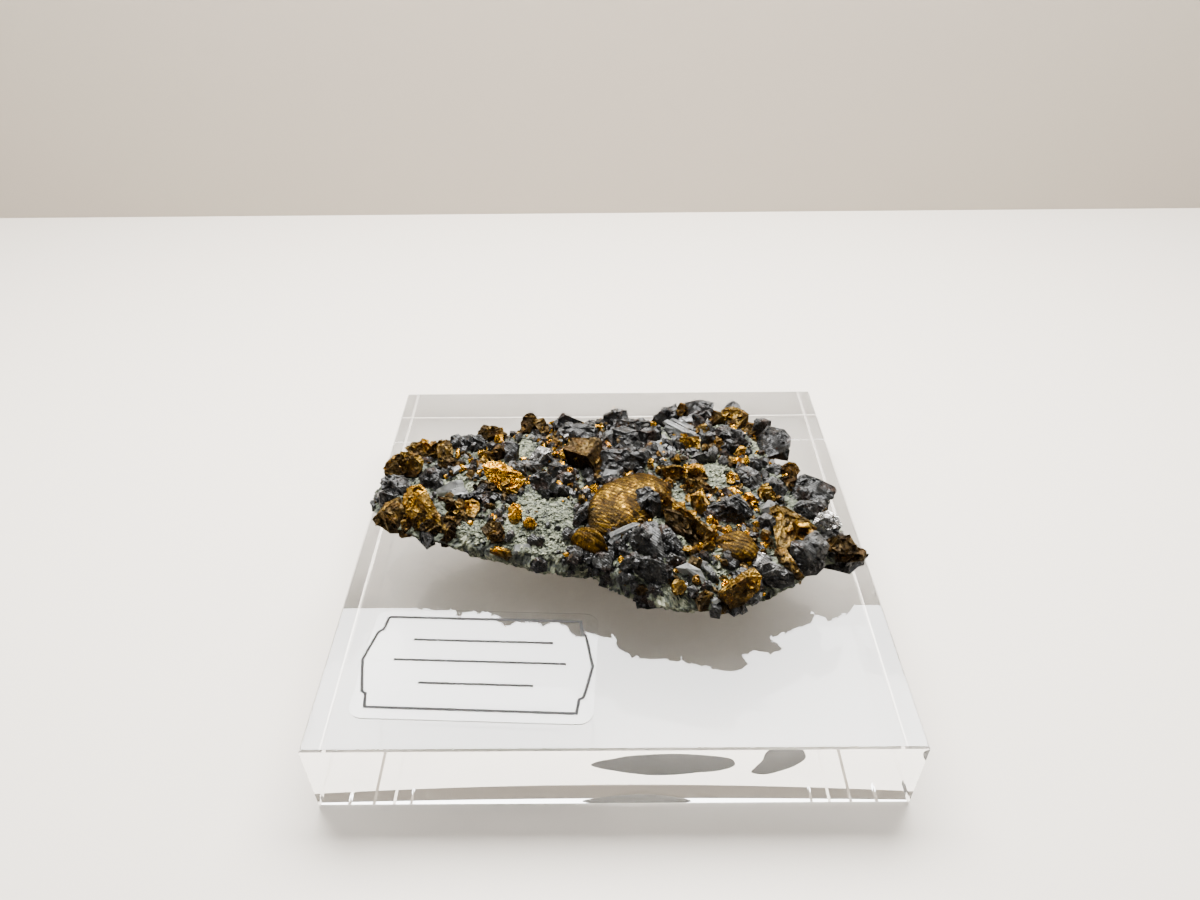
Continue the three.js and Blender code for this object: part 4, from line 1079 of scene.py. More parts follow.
def gathered(parts):
    # several (points, triangles, tones) as one
    points, triangles, tones = zip(*parts)
    starts = np.cumsum([0] + [len(some) for some in points[:-1]])
    shifted = [some + start for some, start in zip(triangles, starts)]
    return np.concatenate(points), np.concatenate(shifted), np.concatenate(tones)


def paintedGapShade(points, triangles, tones):
    # painted shade: the same tones, darker towards the stone, where the gaps between the crystals lie in
    # shade
    middle = points[triangles].mean(axis=1)
    over = middle[:, 2] - stoneTop(middle[:, 0], middle[:, 1]) - lumps(middle[:, 0], middle[:, 1])
    return tones * (0.3 + 0.7 * smoothStep(-0.2, 1.3, over))


def spread(tone, amount, faces, seed):
    # a crystal's tone, a little different on each face
    return np.clip(tone + amount * (scatter(seed, 31 + faces) - 0.5), 0, 1)


def surfaced(shape, n, kind, seed, tone, faceSpread, toneSeed):
    # a crystal's points, triangles and tones, with every fan triangle cut into n rows
    points, triangles, face = refined(*shape, n, finishes[kind], seed)
    return points, triangles, spread(tone, faceSpread, face, toneSeed)


def shootParts(kind, fans, row, seed, count, fineFrom, faceSpread):
    # the offshoots of one crystal; one larger than fineFrom gets finer faces
    parts = []
    for spot, box, turn, dip, tone, shootSeed in offshoots(fans, row, seed, count):
        shoot = setFans(formOf(kind, row), box, turn, dip, spot, shootSeed)
        n = 3 if box.max() > fineFrom else 2
        parts.append(surfaced(shoot, n, kind, shootSeed, tone, faceSpread, shootSeed))
    return parts


compoundFrom, bundleFrom = 2.2, 3  # the sizes from which crystals are made of several


def crystalParts(kind, rows, firstSeed, faceSpread, shootCount, fineness):
    # fineness is how many rows each fan triangle gets for each millimetre of the crystal
    main, shoots = [], []
    for index, row in enumerate(rows):
        seed = firstSeed + index
        form = formOf(kind, row)
        size = max(row[3:6])
        if size > compoundFrom and kind != "quartz":
            made = compound(form, row, seed)
        elif kind == "quartz" and size > bundleFrom:
            made = bundle(row, seed)
        else:
            centre, box = footing(row)
            made = [setFans(form, box, row[6], row[7], centre, seed)]
        for k, shape in enumerate(made):
            n = int(np.clip(round(np.ptp(shape[0], axis=(0, 1)).max() * fineness), 2, 20))
            tone = row[8] + 0.12 * (k > 0) * (scatter(seed, k) - 0.5)
            main.append(surfaced(shape, n, kind, seed, tone, faceSpread, seed + k))
        if size > compoundFrom:
            count = int(round(shootCount * min(size, 7) / 3))
            shoots += shootParts(kind, made[0][0], row, seed, count, 1, faceSpread)
            if kind != "quartz":
                for k, small in enumerate(companions(row, seed, 3)):
                    centre, box = footing(small)
                    fellow = setFans(formOf(kind, small), box, small[6], small[7], centre,
                                     seeds["companion"] + 10 * seed + k)
                    n = 4 if box.max() > 1.6 else 3
                    shoots.append(surfaced(fellow, n, kind, seed + k, small[8], faceSpread, seed + 7 * k))
    return main, shoots


# Rounded crystals: the part that each was read on, its rim as x and y there and a height over the slab's
# foot that is guessed, how far the top swells over the rim, the tone, and how many columns its grid has.
roundRims = {
    "dome": ("middle", [(852, 533, 22.0), (895, 418, 22.3), (881, 338, 22.3), (809, 285, 22.4),
        (751, 253, 22.2), (650, 241, 22.2), (549, 259, 22.4), (433, 302, 22.6), (332, 345, 23.0),
        (274, 406, 23.0), (231, 475, 22.9), (214, 562, 22.5), (231, 649, 22.2), (289, 692, 22.3),
        (433, 706, 22.5), (578, 670, 22.2), (722, 620, 21.8)], 1.0, 0.32, 96),
    "lobe": ("middle", [(387, 880, 21.2), (368, 800, 22.3), (320, 728, 22.8), (240, 688, 22.9),
        (160, 690, 22.7), (100, 735, 21.8), (92, 795, 21.3), (180, 865, 20.9), (290, 908, 20.7)],
        1.0, 0.5, 56),
    "tanPlate": ("front", [(1357, 230, 20.4), (1323, 163, 20.9), (1257, 90, 21.0), (1173, 73, 21.2),
        (1057, 100, 21.2), (987, 160, 20.7), (980, 220, 20.0), (1057, 303, 19.9), (1207, 320, 20.1),
        (1313, 293, 20.3)], 0.7, 0.42, 56),
}


def loopPoints(corners, t):
    # a Catmull-Rom loop through the corners, t counted in corners from the first: with b and c the corners
    # round t, a and d the next ones and f the share of the way from b to c, it is half of
    # 2b + (c - a)f + (2a - 5b + 4c - d)f^2 + (3b - a - 3c + d)f^3
    count = len(corners)
    k = np.minimum(t.astype(int), count - 1)
    f = (t - k)[..., None]
    a, b, c, d = (corners[(k + s) % count] for s in (-1, 0, 1, 2))
    return 0.5 * (2 * b + (c - a) * f + (2 * a - 5 * b + 4 * c - d) * f**2 + (3 * b - a - 3 * c + d) * f**3)


def roundCrystal(name):
    # the rim is a loop through its points; the top swells over it by 1 - share^3 and turns down at the rim
    # with share^8, and the underside falls steeply from there into the stone
    part, loop, swell, tone, columns = roundRims[name]
    loop = atHeight(*readings(loop, part))
    count = len(loop)
    share, angle = discGrid(columns)
    rimPoint = loopPoints(loop, (angle / (2 * np.pi) * count) % count)
    middle = loop.mean(axis=0)
    s = share[..., None]
    top = middle + (rimPoint - middle) * s
    drop = 0.75 * swell
    top[..., 2] += swell * (1 - share**3) - drop * share**8
    low = middle + (rimPoint - middle) * s * (1 - 0.16 * smoothStep(0, 1, 1 - s) - 0.1 * (1 - s))
    foot = stoneTop(low[..., 0], low[..., 1]) - rootDepth
    low[..., 2] = foot + (rimPoint[..., 2] - drop - foot) * share**9
    first, under = top.reshape(-1, 3), low.reshape(-1, 3)
    upper, lower = gridTriangles(columns, columns), gridTriangles(columns, columns)[:, ::-1]
    s = share.ravel()
    calm = 1 - smoothStep(0.93, 1, s)
    first = first + pointNormals(first, upper) * (domeRelief(first, s, name) * calm)[:, None]
    under = under + pointNormals(under, lower) * (0.12 * fractal(under, 0.9, 3, 15) * calm)[:, None]
    # the underside has one dark tone, painted shade under the rim's overhang
    return (np.concatenate([first, under]), np.concatenate([upper, lower + len(first)]),
            np.concatenate([roundTone(first, s, tone)[upper[:, 0]], np.full(len(lower), 0.12)]))


def rimSteps(points, share):
    # seven steps from the middle to the rim, bent by noise
    return 7 * share + 0.5 * noise(points, 2.4, 41)


def domeRelief(points, share, name):
    # growth steps that follow the rim, fine straight grooves across them, and pits; the dome has deeper ones
    steps = rimSteps(points, share)
    grooves = points @ np.array([0.81, -0.58, 0.1]) / 0.42 + 0.5 * noise(points, 1.5, 43)
    pits = np.maximum(noise(points, 0.55, 45), 0)
    depth = 0.12 if name == "dome" else 0.02
    deep = depth * smoothStep(-0.3, 0.4, noise(points, 3.0, 53)) * smoothStep(0.3, 0.6, share)
    hollow = smoothStep(0.15, 0.6, noise(points, 1.7, 57)) if name == "dome" else 0
    return (-deep * (steps - np.floor(steps)) - 0.05 * (grooves - np.floor(grooves)) - 0.06 * pits
            - 0.06 * hollow + 0.09 * fractal(points, 3.2, 4, 47))


def roundTone(points, share, tone):
    # painted light and shade on the tone: a painted highlight band along the rim on the right, painted glints
    # in sparks, brighter in a ring round the dark crystal, painted shade in the creases and along the rim,
    # and stripes and blotches
    paintedHighlightBand = smoothStep(0.45, 0.6, share) * (1 - smoothStep(0.66, 0.82, share))
    steps = rimSteps(points, share)
    paintedCreaseShade = smoothStep(0.8, 0.98, steps - np.floor(steps))
    # painted glints: small bright spots in the tone
    paintedGlint = smoothStep(0.35, 0.6, noise(points, 0.5, 49))
    # the painted highlight band is only on the right side, and only on the brighter crystals
    right = smoothStep(-3, 6, points[:, 0] + points[:, 1]) if tone > 0.45 else 0
    lines = np.sin(points @ np.array([4.2, 9.4, 0]) + 1.6 * noise(points, 1.8, 55))
    reach = np.hypot(points[:, 0] - 4.5, points[:, 1] + 5.2)
    ring = np.exp(-((reach - 3.1) / 0.9) ** 2) * smoothStep(0.0, 0.4, noise(points, 0.4, 59))
    # painted shade along the rim
    edge = smoothStep(0.88, 1, share)
    return np.clip(tone + 0.34 * paintedHighlightBand * right + 0.2 * paintedGlint - 0.12 * paintedCreaseShade + 0.14 * lines
                   + 0.22 * noise(points, 1.4, 51) + 0.45 * ring - 0.2 * edge, 0, 1)


brassLook = {
    "rust": [(0.0, (0.006, 0.003, 0.002)), (0.3, (0.032, 0.014, 0.004)), (0.55, (0.10, 0.042, 0.008)),
             (0.8, (0.22, 0.10, 0.012)), (1.0, (0.60, 0.26, 0.02))],
    # pink is a tarnish colour; the next is the colour of the painted glints
    "pink": (0.62, 0.27, 0.11), "paintedGlint": (0.68, 0.33, 0.008),
    # depth is how steep the small planes are, contrast how much the tone changes from place to place
    "brass": {
        "stops": [(0.0, (0.005, 0.003, 0.0015)), (0.25, (0.022, 0.0135, 0.005)), (0.5, (0.086, 0.052, 0.013)),
                  (0.75, (0.21, 0.117, 0.014)), (1.0, (0.64, 0.30, 0.006))],
        "rustShare": 0.55, "depth": 0.9, "contrast": 1, "lift": 0.02, "tint": (1, 0.82, 0.52, 1)},
    "oldGold": {
        "stops": [(0.0, (0.006, 0.0032, 0.001)), (0.25, (0.029, 0.015, 0.0015)), (0.5, (0.10, 0.053, 0.003)),
                  (0.75, (0.24, 0.13, 0.006)), (1.0, (0.66, 0.32, 0.006))],
        "rustShare": 0.4, "depth": 0.22, "contrast": 0.8, "lift": -0.2, "tint": (1, 0.7, 0.28, 1)},
}


def brassMaterial(name):
    look = brassLook[name]
    contrast = look["contrast"]
    p = Paint(name)
    tone = p.attribute("tone")
    patches, fine = p.noise(1.3, 3), p.noise(0.3, 3, 0.65)
    large, largeTone = p.facets(0.8)
    small, smallTone = p.facets(0.32)
    lines = p.waves(900, 4)
    uneven = (patches - 0.5) * 0.6 + (fine - 0.5) * 0.35 + (largeTone - 0.5) * 0.15 + (smallTone - 0.5) * 0.25
    value = tone + uneven * contrast + (lines - 0.5) * (1 - contrast) * 0.3 + look["lift"]
    rust = p.held(p.noise(2.1, 3), 0.5, 0.6)
    colour = p.mix(rust * look["rustShare"], p.ramp(value, look["stops"]), p.ramp(value, brassLook["rust"]))
    blush = p.held(p.noise(2.6, 2), 0.58, 0.74) * p.held(tone, 0.7, 0.85)
    colour = p.mix(blush * 0.6, colour, brassLook["pink"])
    # painted glints: small spots of bright orange colour on the brighter brass
    paintedGlint = p.held(p.noise(0.5, 2, 0.7), 0.64, 0.7) * p.held(tone, 0.25, 0.6) * 0.8
    colour = p.mix(paintedGlint, colour, brassLook["paintedGlint"])
    rough = 0.47 - value * 0.25 + (fine - 0.5) * 0.2 + rust * 0.06
    planes = (large * 0.9 + small * 0.8) * look["depth"]
    relief = p.bump(planes + lines * 0.02 + p.noise(0.22, 3, 0.7) * 0.04, 1)
    metal = 0.72 + p.held(value, 0.4, 0.8) * 0.28
    return p.finish({"Base Color": colour, "Metallic": metal, "Roughness": rough, "IOR": 1.38,
                     "Specular Tint": look["tint"], "Normal": relief})


darkLook = {
    "stops": [(0.0, (0.004, 0.0039, 0.0036)), (0.3, (0.014, 0.0136, 0.0125)), (0.6, (0.048, 0.0465, 0.0425)),
              (0.85, (0.30, 0.29, 0.275)), (1.0, (0.72, 0.70, 0.67))],
    "brown": (0.045, 0.022, 0.012),
}


def darkMaterial():
    p = Paint("blackBlende")
    tone = p.attribute("tone")
    patches, fine = p.noise(1.4, 3), p.noise(0.3, 3, 0.65)
    large, largeTone = p.facets(1.5)
    small, smallTone = p.facets(0.5)
    value = (tone * 0.86 + (patches - 0.5) * 0.2 + (fine - 0.5) * 0.2 + (largeTone - 0.5) * 0.16
             + (smallTone - 0.5) * 0.2)
    colour = p.ramp(value, darkLook["stops"])
    colour = p.mix(p.held(p.noise(2.6, 2), 0.56, 0.7) * 0.4, colour, darkLook["brown"])
    rough = 0.30 - p.held(value, 0.5, 1.0) * 0.08 + (fine - 0.5) * 0.3
    relief = p.bump(large * 0.8 + small * 0.6 + p.waves(1250, 2) * 0.03 + p.noise(0.2, 3, 0.7) * 0.04, 1)
    return p.finish({"Base Color": colour, "Metallic": p.held(value, 0.62, 0.85), "Roughness": rough,
                     "IOR": 1.36, "Normal": relief})


quartzLook = {"stops": [(0.3, (0.14, 0.14, 0.135)), (0.7, (0.46, 0.46, 0.44))]}


def quartzMaterial():
    p = Paint("quartz")
    relief = p.bump(p.noise(0.3, 3, 0.6), 0.02)
    return p.finish({"Base Color": p.ramp(p.noise(0.9, 3), quartzLook["stops"]), "Transmission Weight": 0.75,
                     "IOR": 1.544, "Roughness": 0.2 + p.noise(0.8, 2) * 0.25, "Normal": relief})


materials = {"brass": brassMaterial("brass"), "oldGold": brassMaterial("oldGold"), "dark": darkMaterial(),
             "quartz": quartzMaterial()}
brassMain, brassShoots = crystalParts("brass", chalcopyriteRows, 1, 0.35, 2, 1.45)
darkMain, darkShoots = crystalParts("dark", sphaleriteRows, 101, 0.3, 2, 1.45)
quartzMain, quartzShoots = crystalParts("quartz", quartzRows, 201, 0.3, 1, 1.2)

# Cut crystals: rows for each millimetre, at least and at most, the same for their offshoots' number, and how
# much the tone differs from face to face.
cutDetail = {"rows": (1.5, 4, 8), "shoots": (2, 3, 9), "faceSpread": 0.3}


def perMillimetre(size, share, least, most):
    # the share times the size, rounded, and held between the least and the most
    return int(np.clip(round(share * size), least, most))


large = {kind: [] for kind in finishes}
for index, (kind, tone, corners) in enumerate(cutCrystals):
    shape = cutFans(corners, index)
    size = np.ptp(corners, axis=0).max()
    seed = seeds["cut"] + index
    rows = perMillimetre(size, *cutDetail["rows"])
    large[kind].append(surfaced(shape, rows, kind, seed, tone, cutDetail["faceSpread"], seed))
    if kind != "quartz":
        row = (0, 0, 0, *np.ptp(corners, axis=0), 360 * scatter(index, 3), 0, tone)
        large[kind] += shootParts(kind, shape[0], row, seeds["cutOffshoots"] + index,
                                  perMillimetre(size, *cutDetail["shoots"]), 0.9, cutDetail["faceSpread"])
print(len(cutCrystals), "cut crystals")

for name, parts, material in (
        ("chalcopyriteLarge", large["brass"], "brass"), ("sphaleriteLarge", large["dark"], "dark"),
        ("chalcopyriteRound", [roundCrystal(name) for name in roundRims], "oldGold"),
        ("chalcopyriteCrystals", brassMain, "brass"), ("chalcopyriteShoots", brassShoots, "brass"),
        ("sphaleriteCrystals", darkMain, "dark"), ("sphaleriteShoots", darkShoots, "dark"),
        ("quartzCrystals", large["quartz"] + quartzMain + quartzShoots, "quartz")):
    points, triangles, tones = gathered(parts)
    # painted shade, darker towards the stone
    tones = paintedGapShade(points, triangles, tones)
    piece = meshPiece(name, points, triangles, materials[material], tones, weld=True, sharp=25)
print("crystals made")

cutPlaces = np.array([[*np.mean(corners, axis=0)[:2], *(np.ptp(corners, axis=0)[:2] / 2 + 0.5)]
                      for _, _, corners in cutCrystals])


def taken(x, y):
    # 1 within and just round a cut crystal
    gap = np.hypot((x - cutPlaces[:, 0]) / cutPlaces[:, 2], (y - cutPlaces[:, 1]) / cutPlaces[:, 3])
    return float(gap.min() < 1)


# Small crystals in the gaps: how many, the smallest and the largest, how far out they reach, and the size of
# the patches of one kind; then how many are on the stone's wall, and the smallest and the largest there.
fillers = {
    "count": 3300, "seed": 77, "least": 0.45, "most": 2.0, "reach": 0.97, "patch": 7, "quartzShare": 0.025,
    "wall": 330, "wallLeast": 0.7, "wallMost": 1.7,
    # the share that is bright, the lightest tone of the others, and how much the faces differ
    "dark": (0.02, 0.28, 0.26), "brass": (0.26, 0.6, 0.4), "quartz": (0.02, 0.6, 0.4),
}


def fillerParts():
    # small crystals at random points of the stone's upper face, fewer where it is bare
    random = np.random.default_rng(fillers["seed"])
    made = {"dark": [], "brass": [], "quartz": []}
    onWall = 0
    while sum(map(len, made.values())) < fillers["count"]:
        angle, share = random.uniform(0, 2 * np.pi), math.sqrt(random.uniform(0, 1)) * fillers["reach"]
        x, y = share * edgeRadius(angle) * np.array([math.cos(angle), math.sin(angle)])
        size = fillers["least"] + (fillers["most"] - fillers["least"]) * random.uniform(0, 1) ** 2.2
        if random.uniform() < max(bareness(x, y), taken(x, y)) * 0.99:
            continue
        nearDome = math.exp(-((x - 13) ** 2 + (y + 1) ** 2) / 60)
        brassy = 0.42 + 0.4 * noise(np.array([x, y, 0.0]), fillers["patch"], fillers["seed"]) + 0.5 * nearDome
        isQuartz = random.uniform() < fillers["quartzShare"]
        kind = "quartz" if isQuartz else "brass" if random.uniform() < brassy else "dark"
        box = size * random.uniform(0.6, 1.1, 3)
        if kind == "quartz":
            box = np.array([size * 1.3, size * 0.4, size * 0.4])
        spot = np.array([x, y, stoneTop(x, y) + lumps(x, y) + 0.22 * size])
        if onWall < fillers["wall"] and share > 0.8:
            # moved out on to the wall: many on the right half in front, few on the left
            wall = np.array(stone["wall"])
            row = random.uniform(0.2, 3.4)
            out, down = (np.interp(row, np.arange(len(wall)), wall[:, k]) for k in (0, 1))
            if random.uniform() < (0.95 if x > 2 or y > 0 else 0.7 if x < -22 else 0.12):
                size = random.uniform(fillers["wallLeast"], fillers["wallMost"])
                box = size * random.uniform(0.6, 1.1, 3)
                spot = stonePoints(np.array(out), np.array(down), np.array(angle))
                onWall += 1
        seed = seeds["filler"] + sum(map(len, made.values()))
        turn, dip = random.uniform(0, 360), random.uniform(-35, 35)
        fans, faces, _ = setFans(usualForms[kind], box, turn, dip, spot, seed)
        brightShare, palest, faceSpread = fillers[kind]
        bright = random.uniform() < brightShare
        tone = random.uniform(0.9, 1) if bright else random.uniform(0.02, palest)
        points = fans.reshape(-1, 3)
        triangles = np.arange(len(points)).reshape(-1, 3)
        made[kind].append((points, triangles, spread(tone, faceSpread, faces, seed)))
    return made


for kind, parts in fillerParts().items():
    points, triangles, tones = gathered(parts)
    piece = meshPiece(kind + "Fillers", points, triangles, materials[kind], tones, weld=True)
print("fillers made")


grit = {
    "count": 7500, "seed": 5, "length": (0.18, 0.75), "width": (0.10, 0.28), "shift": 0.16, "flatness": 0.6,
    "tone": (0.62, 0.25),  # the mean and how far it varies
}


def gritPiece():
    # small six-sided chips: a box with shifted corners, turned at random and set on points of the stone
    random = np.random.default_rng(grit["seed"])
    upper = (stone["columns"] + 1) ** 2
    weight = 0.05 + bareness(shell[:upper, 0], shell[:upper, 1])
    count = grit["count"]
    spots = shell[random.choice(upper, count, p=weight / weight.sum())]
    corners = np.array(list(np.ndindex(2, 2, 2))) - 0.5
    sides = [(0, 1, 3, 2), (4, 6, 7, 5), (0, 4, 5, 1), (2, 3, 7, 6), (0, 2, 6, 4), (1, 5, 7, 3)]
    faces = np.array([t for a, b, c, d in sides for t in ((a, b, c), (a, c, d))])
    length = random.uniform(*grit["length"], count)
    width = random.uniform(*grit["width"], (count, 2))
    box = np.stack([length, width[:, 0], width[:, 1]], axis=-1)
    chips = (corners + random.uniform(-grit["shift"], grit["shift"], (count, 8, 3))) * box[:, None, :]
    axes, _ = np.linalg.qr(random.normal(size=(count, 3, 3)))
    axes *= np.sign(np.linalg.det(axes))[:, None, None]
    axes[:, 2] *= grit["flatness"]
    points = np.einsum("nij,nkj->nki", axes, chips) + spots[:, None, :]
    triangles = (faces[None] + 8 * np.arange(count)[:, None, None]).reshape(-1, 3)
    tones = np.repeat(np.clip(random.normal(*grit["tone"], count), 0, 1), len(faces))
    return meshPiece("stoneGrit", points.reshape(-1, 3), triangles, stoneSkin, tones)


gritPiece()
print("grit made")

# Each putty pad: the name of its piece, and its outline as the solid has it.
pads = {
    "adhesive_pad_left": ("puttyPadLeft", [
        (-3.7, -7.4), (1.2, -4.8), (8.2, -3.6), (16.5, -4.4), (18.6, -6.2), (17.2, -9.0), (7.9, -11.2),
        (1.1, -9.9)]),
    "adhesive_pad_right": ("puttyPadRight", [
        (20.6, -10.2), (22.2, -6.4), (23.4, -2.6), (26.0, -0.6), (29.0, -1.4), (29.2, -4.8), (26.7, -8.4),
        (23.2, -10.6)]),
    "adhesive_pad_back": ("puttyPadBack", [
        (-5.5, 14.2), (-1.0, 16.2), (4.5, 16.8), (10.5, 16.2), (14.3, 14.2), (10.0, 12.6), (4.0, 12.2),
        (-1.5, 12.8)]),
}
# The pads' section: share of the outline and share of the height, from the foot up; how far they sink into
# the slab and into the stone; and the number of points for each corner of the outline.
padShape = {
    "profile": [(0.3, 0), (0.7, 0), (0.93, 0), (0.99, 0.04), (1.01, 0.25), (0.96, 0.5), (0.93, 0.75),
                (0.95, 0.95), (0.9, 1), (0.6, 1), (0.3, 1)],
    "sink": 0.05, "press": 0.25, "perCorner": 8,
}
slabTop, slabHalf = 12.3, 38.1


def puttyMaterial():
    p = Paint("putty")
    dents = p.noise(1.4, 3)
    colour = p.ramp(p.noise(2.2, 3), [(0.3, (0.24, 0.24, 0.235)), (0.7, (0.36, 0.36, 0.35))])
    return p.finish({"Base Color": colour, "Roughness": 0.5 + dents * 0.2, "Normal": p.bump(dents, 0.08)})


def padPiece(node, name, outline, material):
    # rings of the outline: a foot sunk a little into the slab, a bulging side, and a top pressed into the
    # stone
    corners = np.array(outline)
    ring = loopPoints(corners, np.arange(0, len(corners), 1 / padShape["perCorner"]))
    middle = ring.mean(axis=0)
    low, press = slabTop - padShape["sink"], padShape["press"]
    rows = []
    for share, up in padShape["profile"]:
        xy = middle + (ring - middle) * share
        high = stoneUnderside(xy[:, 0], xy[:, 1]) + press
        rows.append(np.column_stack([xy, low + (high - low) * up]))
    points = np.concatenate(rows + [[[*middle, low]], [[*middle, stoneUnderside(*middle) + press]]])
    count, turns = len(ring), len(padShape["profile"])
    points[:-2, :2] += 0.18 * jitter(points[:-2], 2.5, 3)[:, :2]
    here = (np.arange(turns - 1)[:, None] * count + np.arange(count)).ravel()
    there = (np.arange(turns - 1)[:, None] * count + (np.arange(count) + 1) % count).ravel()
    around, after = np.arange(count), (np.arange(count) + 1) % count
    last = (turns - 1) * count
    triangles = np.concatenate([
        np.stack([here, there, there + count], 1), np.stack([here, there + count, here + count], 1),
        np.stack([np.full(count, turns * count), after, around], 1),
        np.stack([np.full(count, turns * count + 1), last + around, last + after], 1)])
    piece = meshPiece(name, points, triangles, material, sharp=50)
    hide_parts(node)


putty = puttyMaterial()
for node, (name, outline) in pads.items():
    padPiece(node, name, outline, putty)
print("pads made")


def acrylicMaterial():
    p = Paint("acrylic")
    return p.finish({"Base Color": (0.985, 0.99, 0.988, 1), "Transmission Weight": 1.0, "IOR": 1.49,
                     "Roughness": 0.0})


def dress(node, material):
    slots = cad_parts[node].data.materials
    slots.clear()
    slots.append(material)


dress("acrylic_slab", acrylicMaterial())


# The label: a film with rounded corners and fine printed lines, which sink into it a little and stand out.
label = {
    "width": 31, "depth": 17.8, "thickness": 0.12, "corner": 2, "x": -17.6, "y": -25.2, "turn": -2.4,
    "line": 0.42, "lift": 0.012, "sink": 0.01, "rise": 0.015,
    # a bracket outline that comes to a point at each side, as x and as y from the slab's front edge
    "frame": [
        (-31.0, 20.9), (-4.3, 19.8), (-4.05, 17.6), (-3.55, 17.3), (-3.3, 16.0), (-2.6, 12.2), (-3.4, 8.6),
        (-3.75, 7.4), (-4.3, 7.1), (-4.6, 5.0), (-31.4, 6.2), (-31.65, 8.2), (-32.2, 8.6), (-32.45, 9.8),
        (-33.2, 13.6), (-32.3, 17.2), (-32.0, 18.3), (-31.35, 18.7), (-31.0, 20.9)],
    # ruled lines: y and both ends, from the label's middle
    "rules": [(3.6, -9.5, 9.5), (0.2, -11.5, 11.5), (-3.4, -7.5, 7.5)], "ruleWidth": 0.38,
}


def labelPoints(local):
    # from the label's own place to the slab's
    turn = math.radians(label["turn"])
    c, s = math.cos(turn), math.sin(turn)
    x, y = np.asarray(local, float).T
    return np.stack([label["x"] + c * x - s * y, label["y"] + s * x + c * y], -1)


def prism(outline, low, high):
    # a flat outline, counter-clockwise and seen whole from its middle, made into a plate
    n = len(outline)
    middle = outline.mean(axis=0)
    rings = [np.column_stack([outline, np.full(n, z)]) for z in (low, high)]
    points = np.concatenate([*rings, [[*middle, low], [*middle, high]]])
    k, j = np.arange(n), (np.arange(n) + 1) % n
    return points, np.concatenate([
        np.stack([np.full(n, 2 * n), j, k], 1), np.stack([np.full(n, 2 * n + 1), n + k, n + j], 1),
        np.stack([k, j, n + j], 1), np.stack([k, n + j, n + k], 1)])


def ribbon(path, width, low, high):
    # an open path made into a flat strip of that width, mitred at its corners
    path = np.asarray(path, float)
    ahead = np.diff(path, axis=0)
    ahead /= np.linalg.norm(ahead, axis=1)[:, None]
    side = np.stack([-ahead[:, 1], ahead[:, 0]], axis=-1)
    first, last = np.concatenate([side[:1], side]), np.concatenate([side, side[-1:]])
    mitre = (first + last) / (1 + np.sum(first * last, axis=1))[:, None] * width / 2
    left, right = path + mitre, path - mitre
    n = len(path)
    points = np.concatenate([np.column_stack([p, np.full(n, z)]) for z in (low, high) for p in (right, left)])
    k = np.arange(n - 1)
    rl, ll, rh, lh = (k + n * m for m in range(4))
    triangles = []
    for a, b, c, d in ((rl, ll, ll + 1, rl + 1), (rh, rh + 1, lh + 1, lh), (rl, rl + 1, rh + 1, rh),
                       (ll + 1, ll, lh, lh + 1)):
        triangles += [np.stack([a, b, c], 1), np.stack([a, c, d], 1)]
    ends = [(0, 2 * n, 3 * n, n), (n - 1, 2 * n - 1, 4 * n - 1, 3 * n - 1)]
    triangles += [np.array([[a, b, c], [a, c, d]]) for a, b, c, d in ends]
    return points, np.concatenate(triangles)


def filmMaterial():
    p = Paint("film")
    return p.finish({"Base Color": (1, 1, 1, 1), "Transmission Weight": 1.0, "IOR": 1.49, "Roughness": 0.06})


def inkMaterial():
    p = Paint("ink")
    colour = p.ramp(p.noise(0.4, 3), [(0.2, (0.016, 0.015, 0.015)), (0.8, (0.045, 0.043, 0.042))])
    return p.finish({"Base Color": colour, "Roughness": 0.8, "IOR": 1.2})


def labelPieces():
    halfWidth, halfDepth, corner = label["width"] / 2, label["depth"] / 2, label["corner"]
    t = np.radians(np.arange(0, 360, 9))
    centre = np.stack([np.where(np.cos(t) > 0, 1, -1) * (halfWidth - corner),
                       np.where(np.sin(t + 1e-6) > 0, 1, -1) * (halfDepth - corner)], -1)
    outline = labelPoints(centre + corner * np.stack([np.cos(t), np.sin(t)], -1))
    low, high = slabTop + label["lift"], slabTop + label["thickness"]
    points, triangles = prism(outline, low, high)
    film = meshPiece("labelFilm", points, triangles, filmMaterial())
    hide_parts("label")
    paths = [(np.array(label["frame"])[::-1] - [0, slabHalf], label["line"])]
    paths += [(labelPoints([(left, y), (right, y)]), label["ruleWidth"]) for y, left, right in label["rules"]]
    strips = [ribbon(path, width, high - label["sink"], high + label["rise"]) for path, width in paths]
    points, triangles, _ = gathered([(*strip, [0]) for strip in strips])
    lines = meshPiece("labelLines", points, triangles, inkMaterial())


labelPieces()
print("label made")


room = {"floorLevel": -0.06, "half": 1500, "wall": 153, "wallHeight": 700,
        "floorColour": (0.57, 0.52, 0.455), "wallColour": (0.41, 0.358, 0.293)}


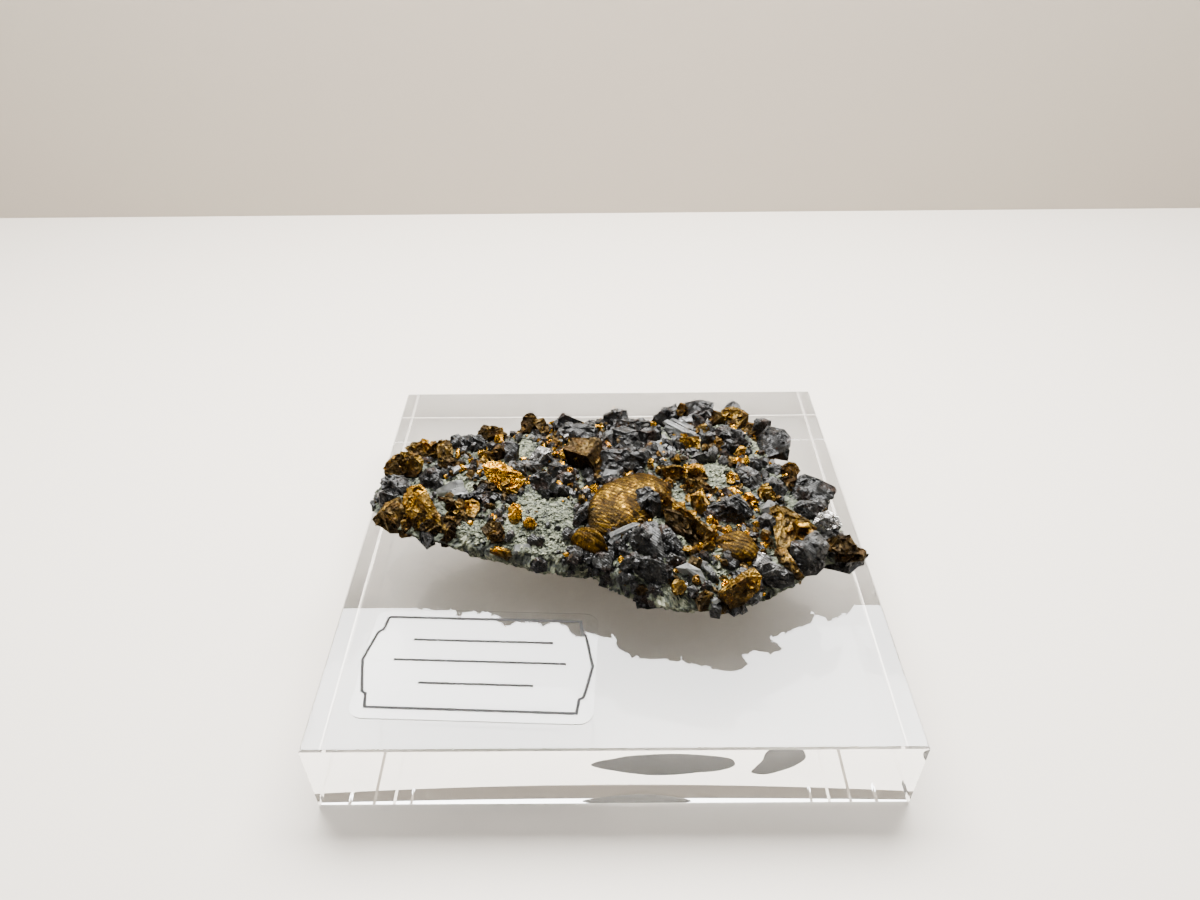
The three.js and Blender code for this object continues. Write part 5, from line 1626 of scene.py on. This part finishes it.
def stagePlane(name, corners, material):
    mesh = bpy.data.meshes.new(name)
    mesh.from_pydata([tuple(c * metre for c in corner) for corner in corners], [], [(0, 1, 2, 3)])
    mesh.materials.append(material)
    plane = bpy.data.objects.new(name, mesh)
    bpy.context.scene.collection.objects.link(plane)


def plainMaterial(name, colour, roughness):
    return Paint(name).finish({"Base Color": (*colour, 1), "Roughness": roughness})


half, level, wall, top = room["half"], room["floorLevel"], room["wall"], room["wallHeight"]
stagePlane("floor", [(-half, -half, level), (half, -half, level), (half, half, level), (-half, half, level)],
           plainMaterial("floorPaint", room["floorColour"], 0.6))
stagePlane("wall", [(-half, wall, level), (half, wall, level), (half, wall, top), (-half, wall, top)],
           plainMaterial("wallPaint", room["wallColour"], 0.8))


def addLight(name, place, aim, size, power):
    # a rectangle of light at a place, turned to an aim, all in millimetres, and its power in watts
    data = bpy.data.lights.new(name, "AREA")
    data.shape, data.size, data.size_y = "RECTANGLE", size[0] * metre, size[1] * metre
    data.energy = power
    lamp = bpy.data.objects.new(name, data)
    back = np.array(place, float) - np.array(aim, float)
    back /= np.linalg.norm(back)
    right = np.cross([0, 1, 0] if abs(back[2]) > 0.9 else [0, 0, 1], back)
    right /= np.linalg.norm(right)
    matrix = np.eye(4)
    matrix[:3, 0], matrix[:3, 1], matrix[:3, 2] = right, np.cross(back, right), back
    matrix[:3, 3] = np.array(place) * metre
    lamp.matrix_world = Matrix(matrix.tolist())
    bpy.context.scene.collection.objects.link(lamp)


# A soft panel high at the back, which the slab's top mirrors in front of the specimen, a wide one above, one
# at each end and a weak strip in front.
addLight("panelBack", (0, 99, 238), (0, -76, 15), (320, 128), 5.9)
addLight("panelAbove", (0, -60, 470), (0, -60, 0), (900, 240), 0.9)
for side in (-1, 1):
    addLight("panelSide", (side * 330, 20, 220), (0, -30, 0), (220, 160), 1.0)
addLight("stripFront", (0, -330, 520), (0, 0, 0), (1000, 70), 0.15)

world = bpy.data.worlds.new("world")
world.use_nodes = True
world.node_tree.nodes["Background"].inputs["Color"].default_value = (1, 0.98, 0.95, 1)
world.node_tree.nodes["Background"].inputs["Strength"].default_value = 0.03
bpy.context.scene.world = world
bpy.context.scene.cycles.glossy_bounces = 12  # light turns more than four times inside the clear slab
print("room and lights made")
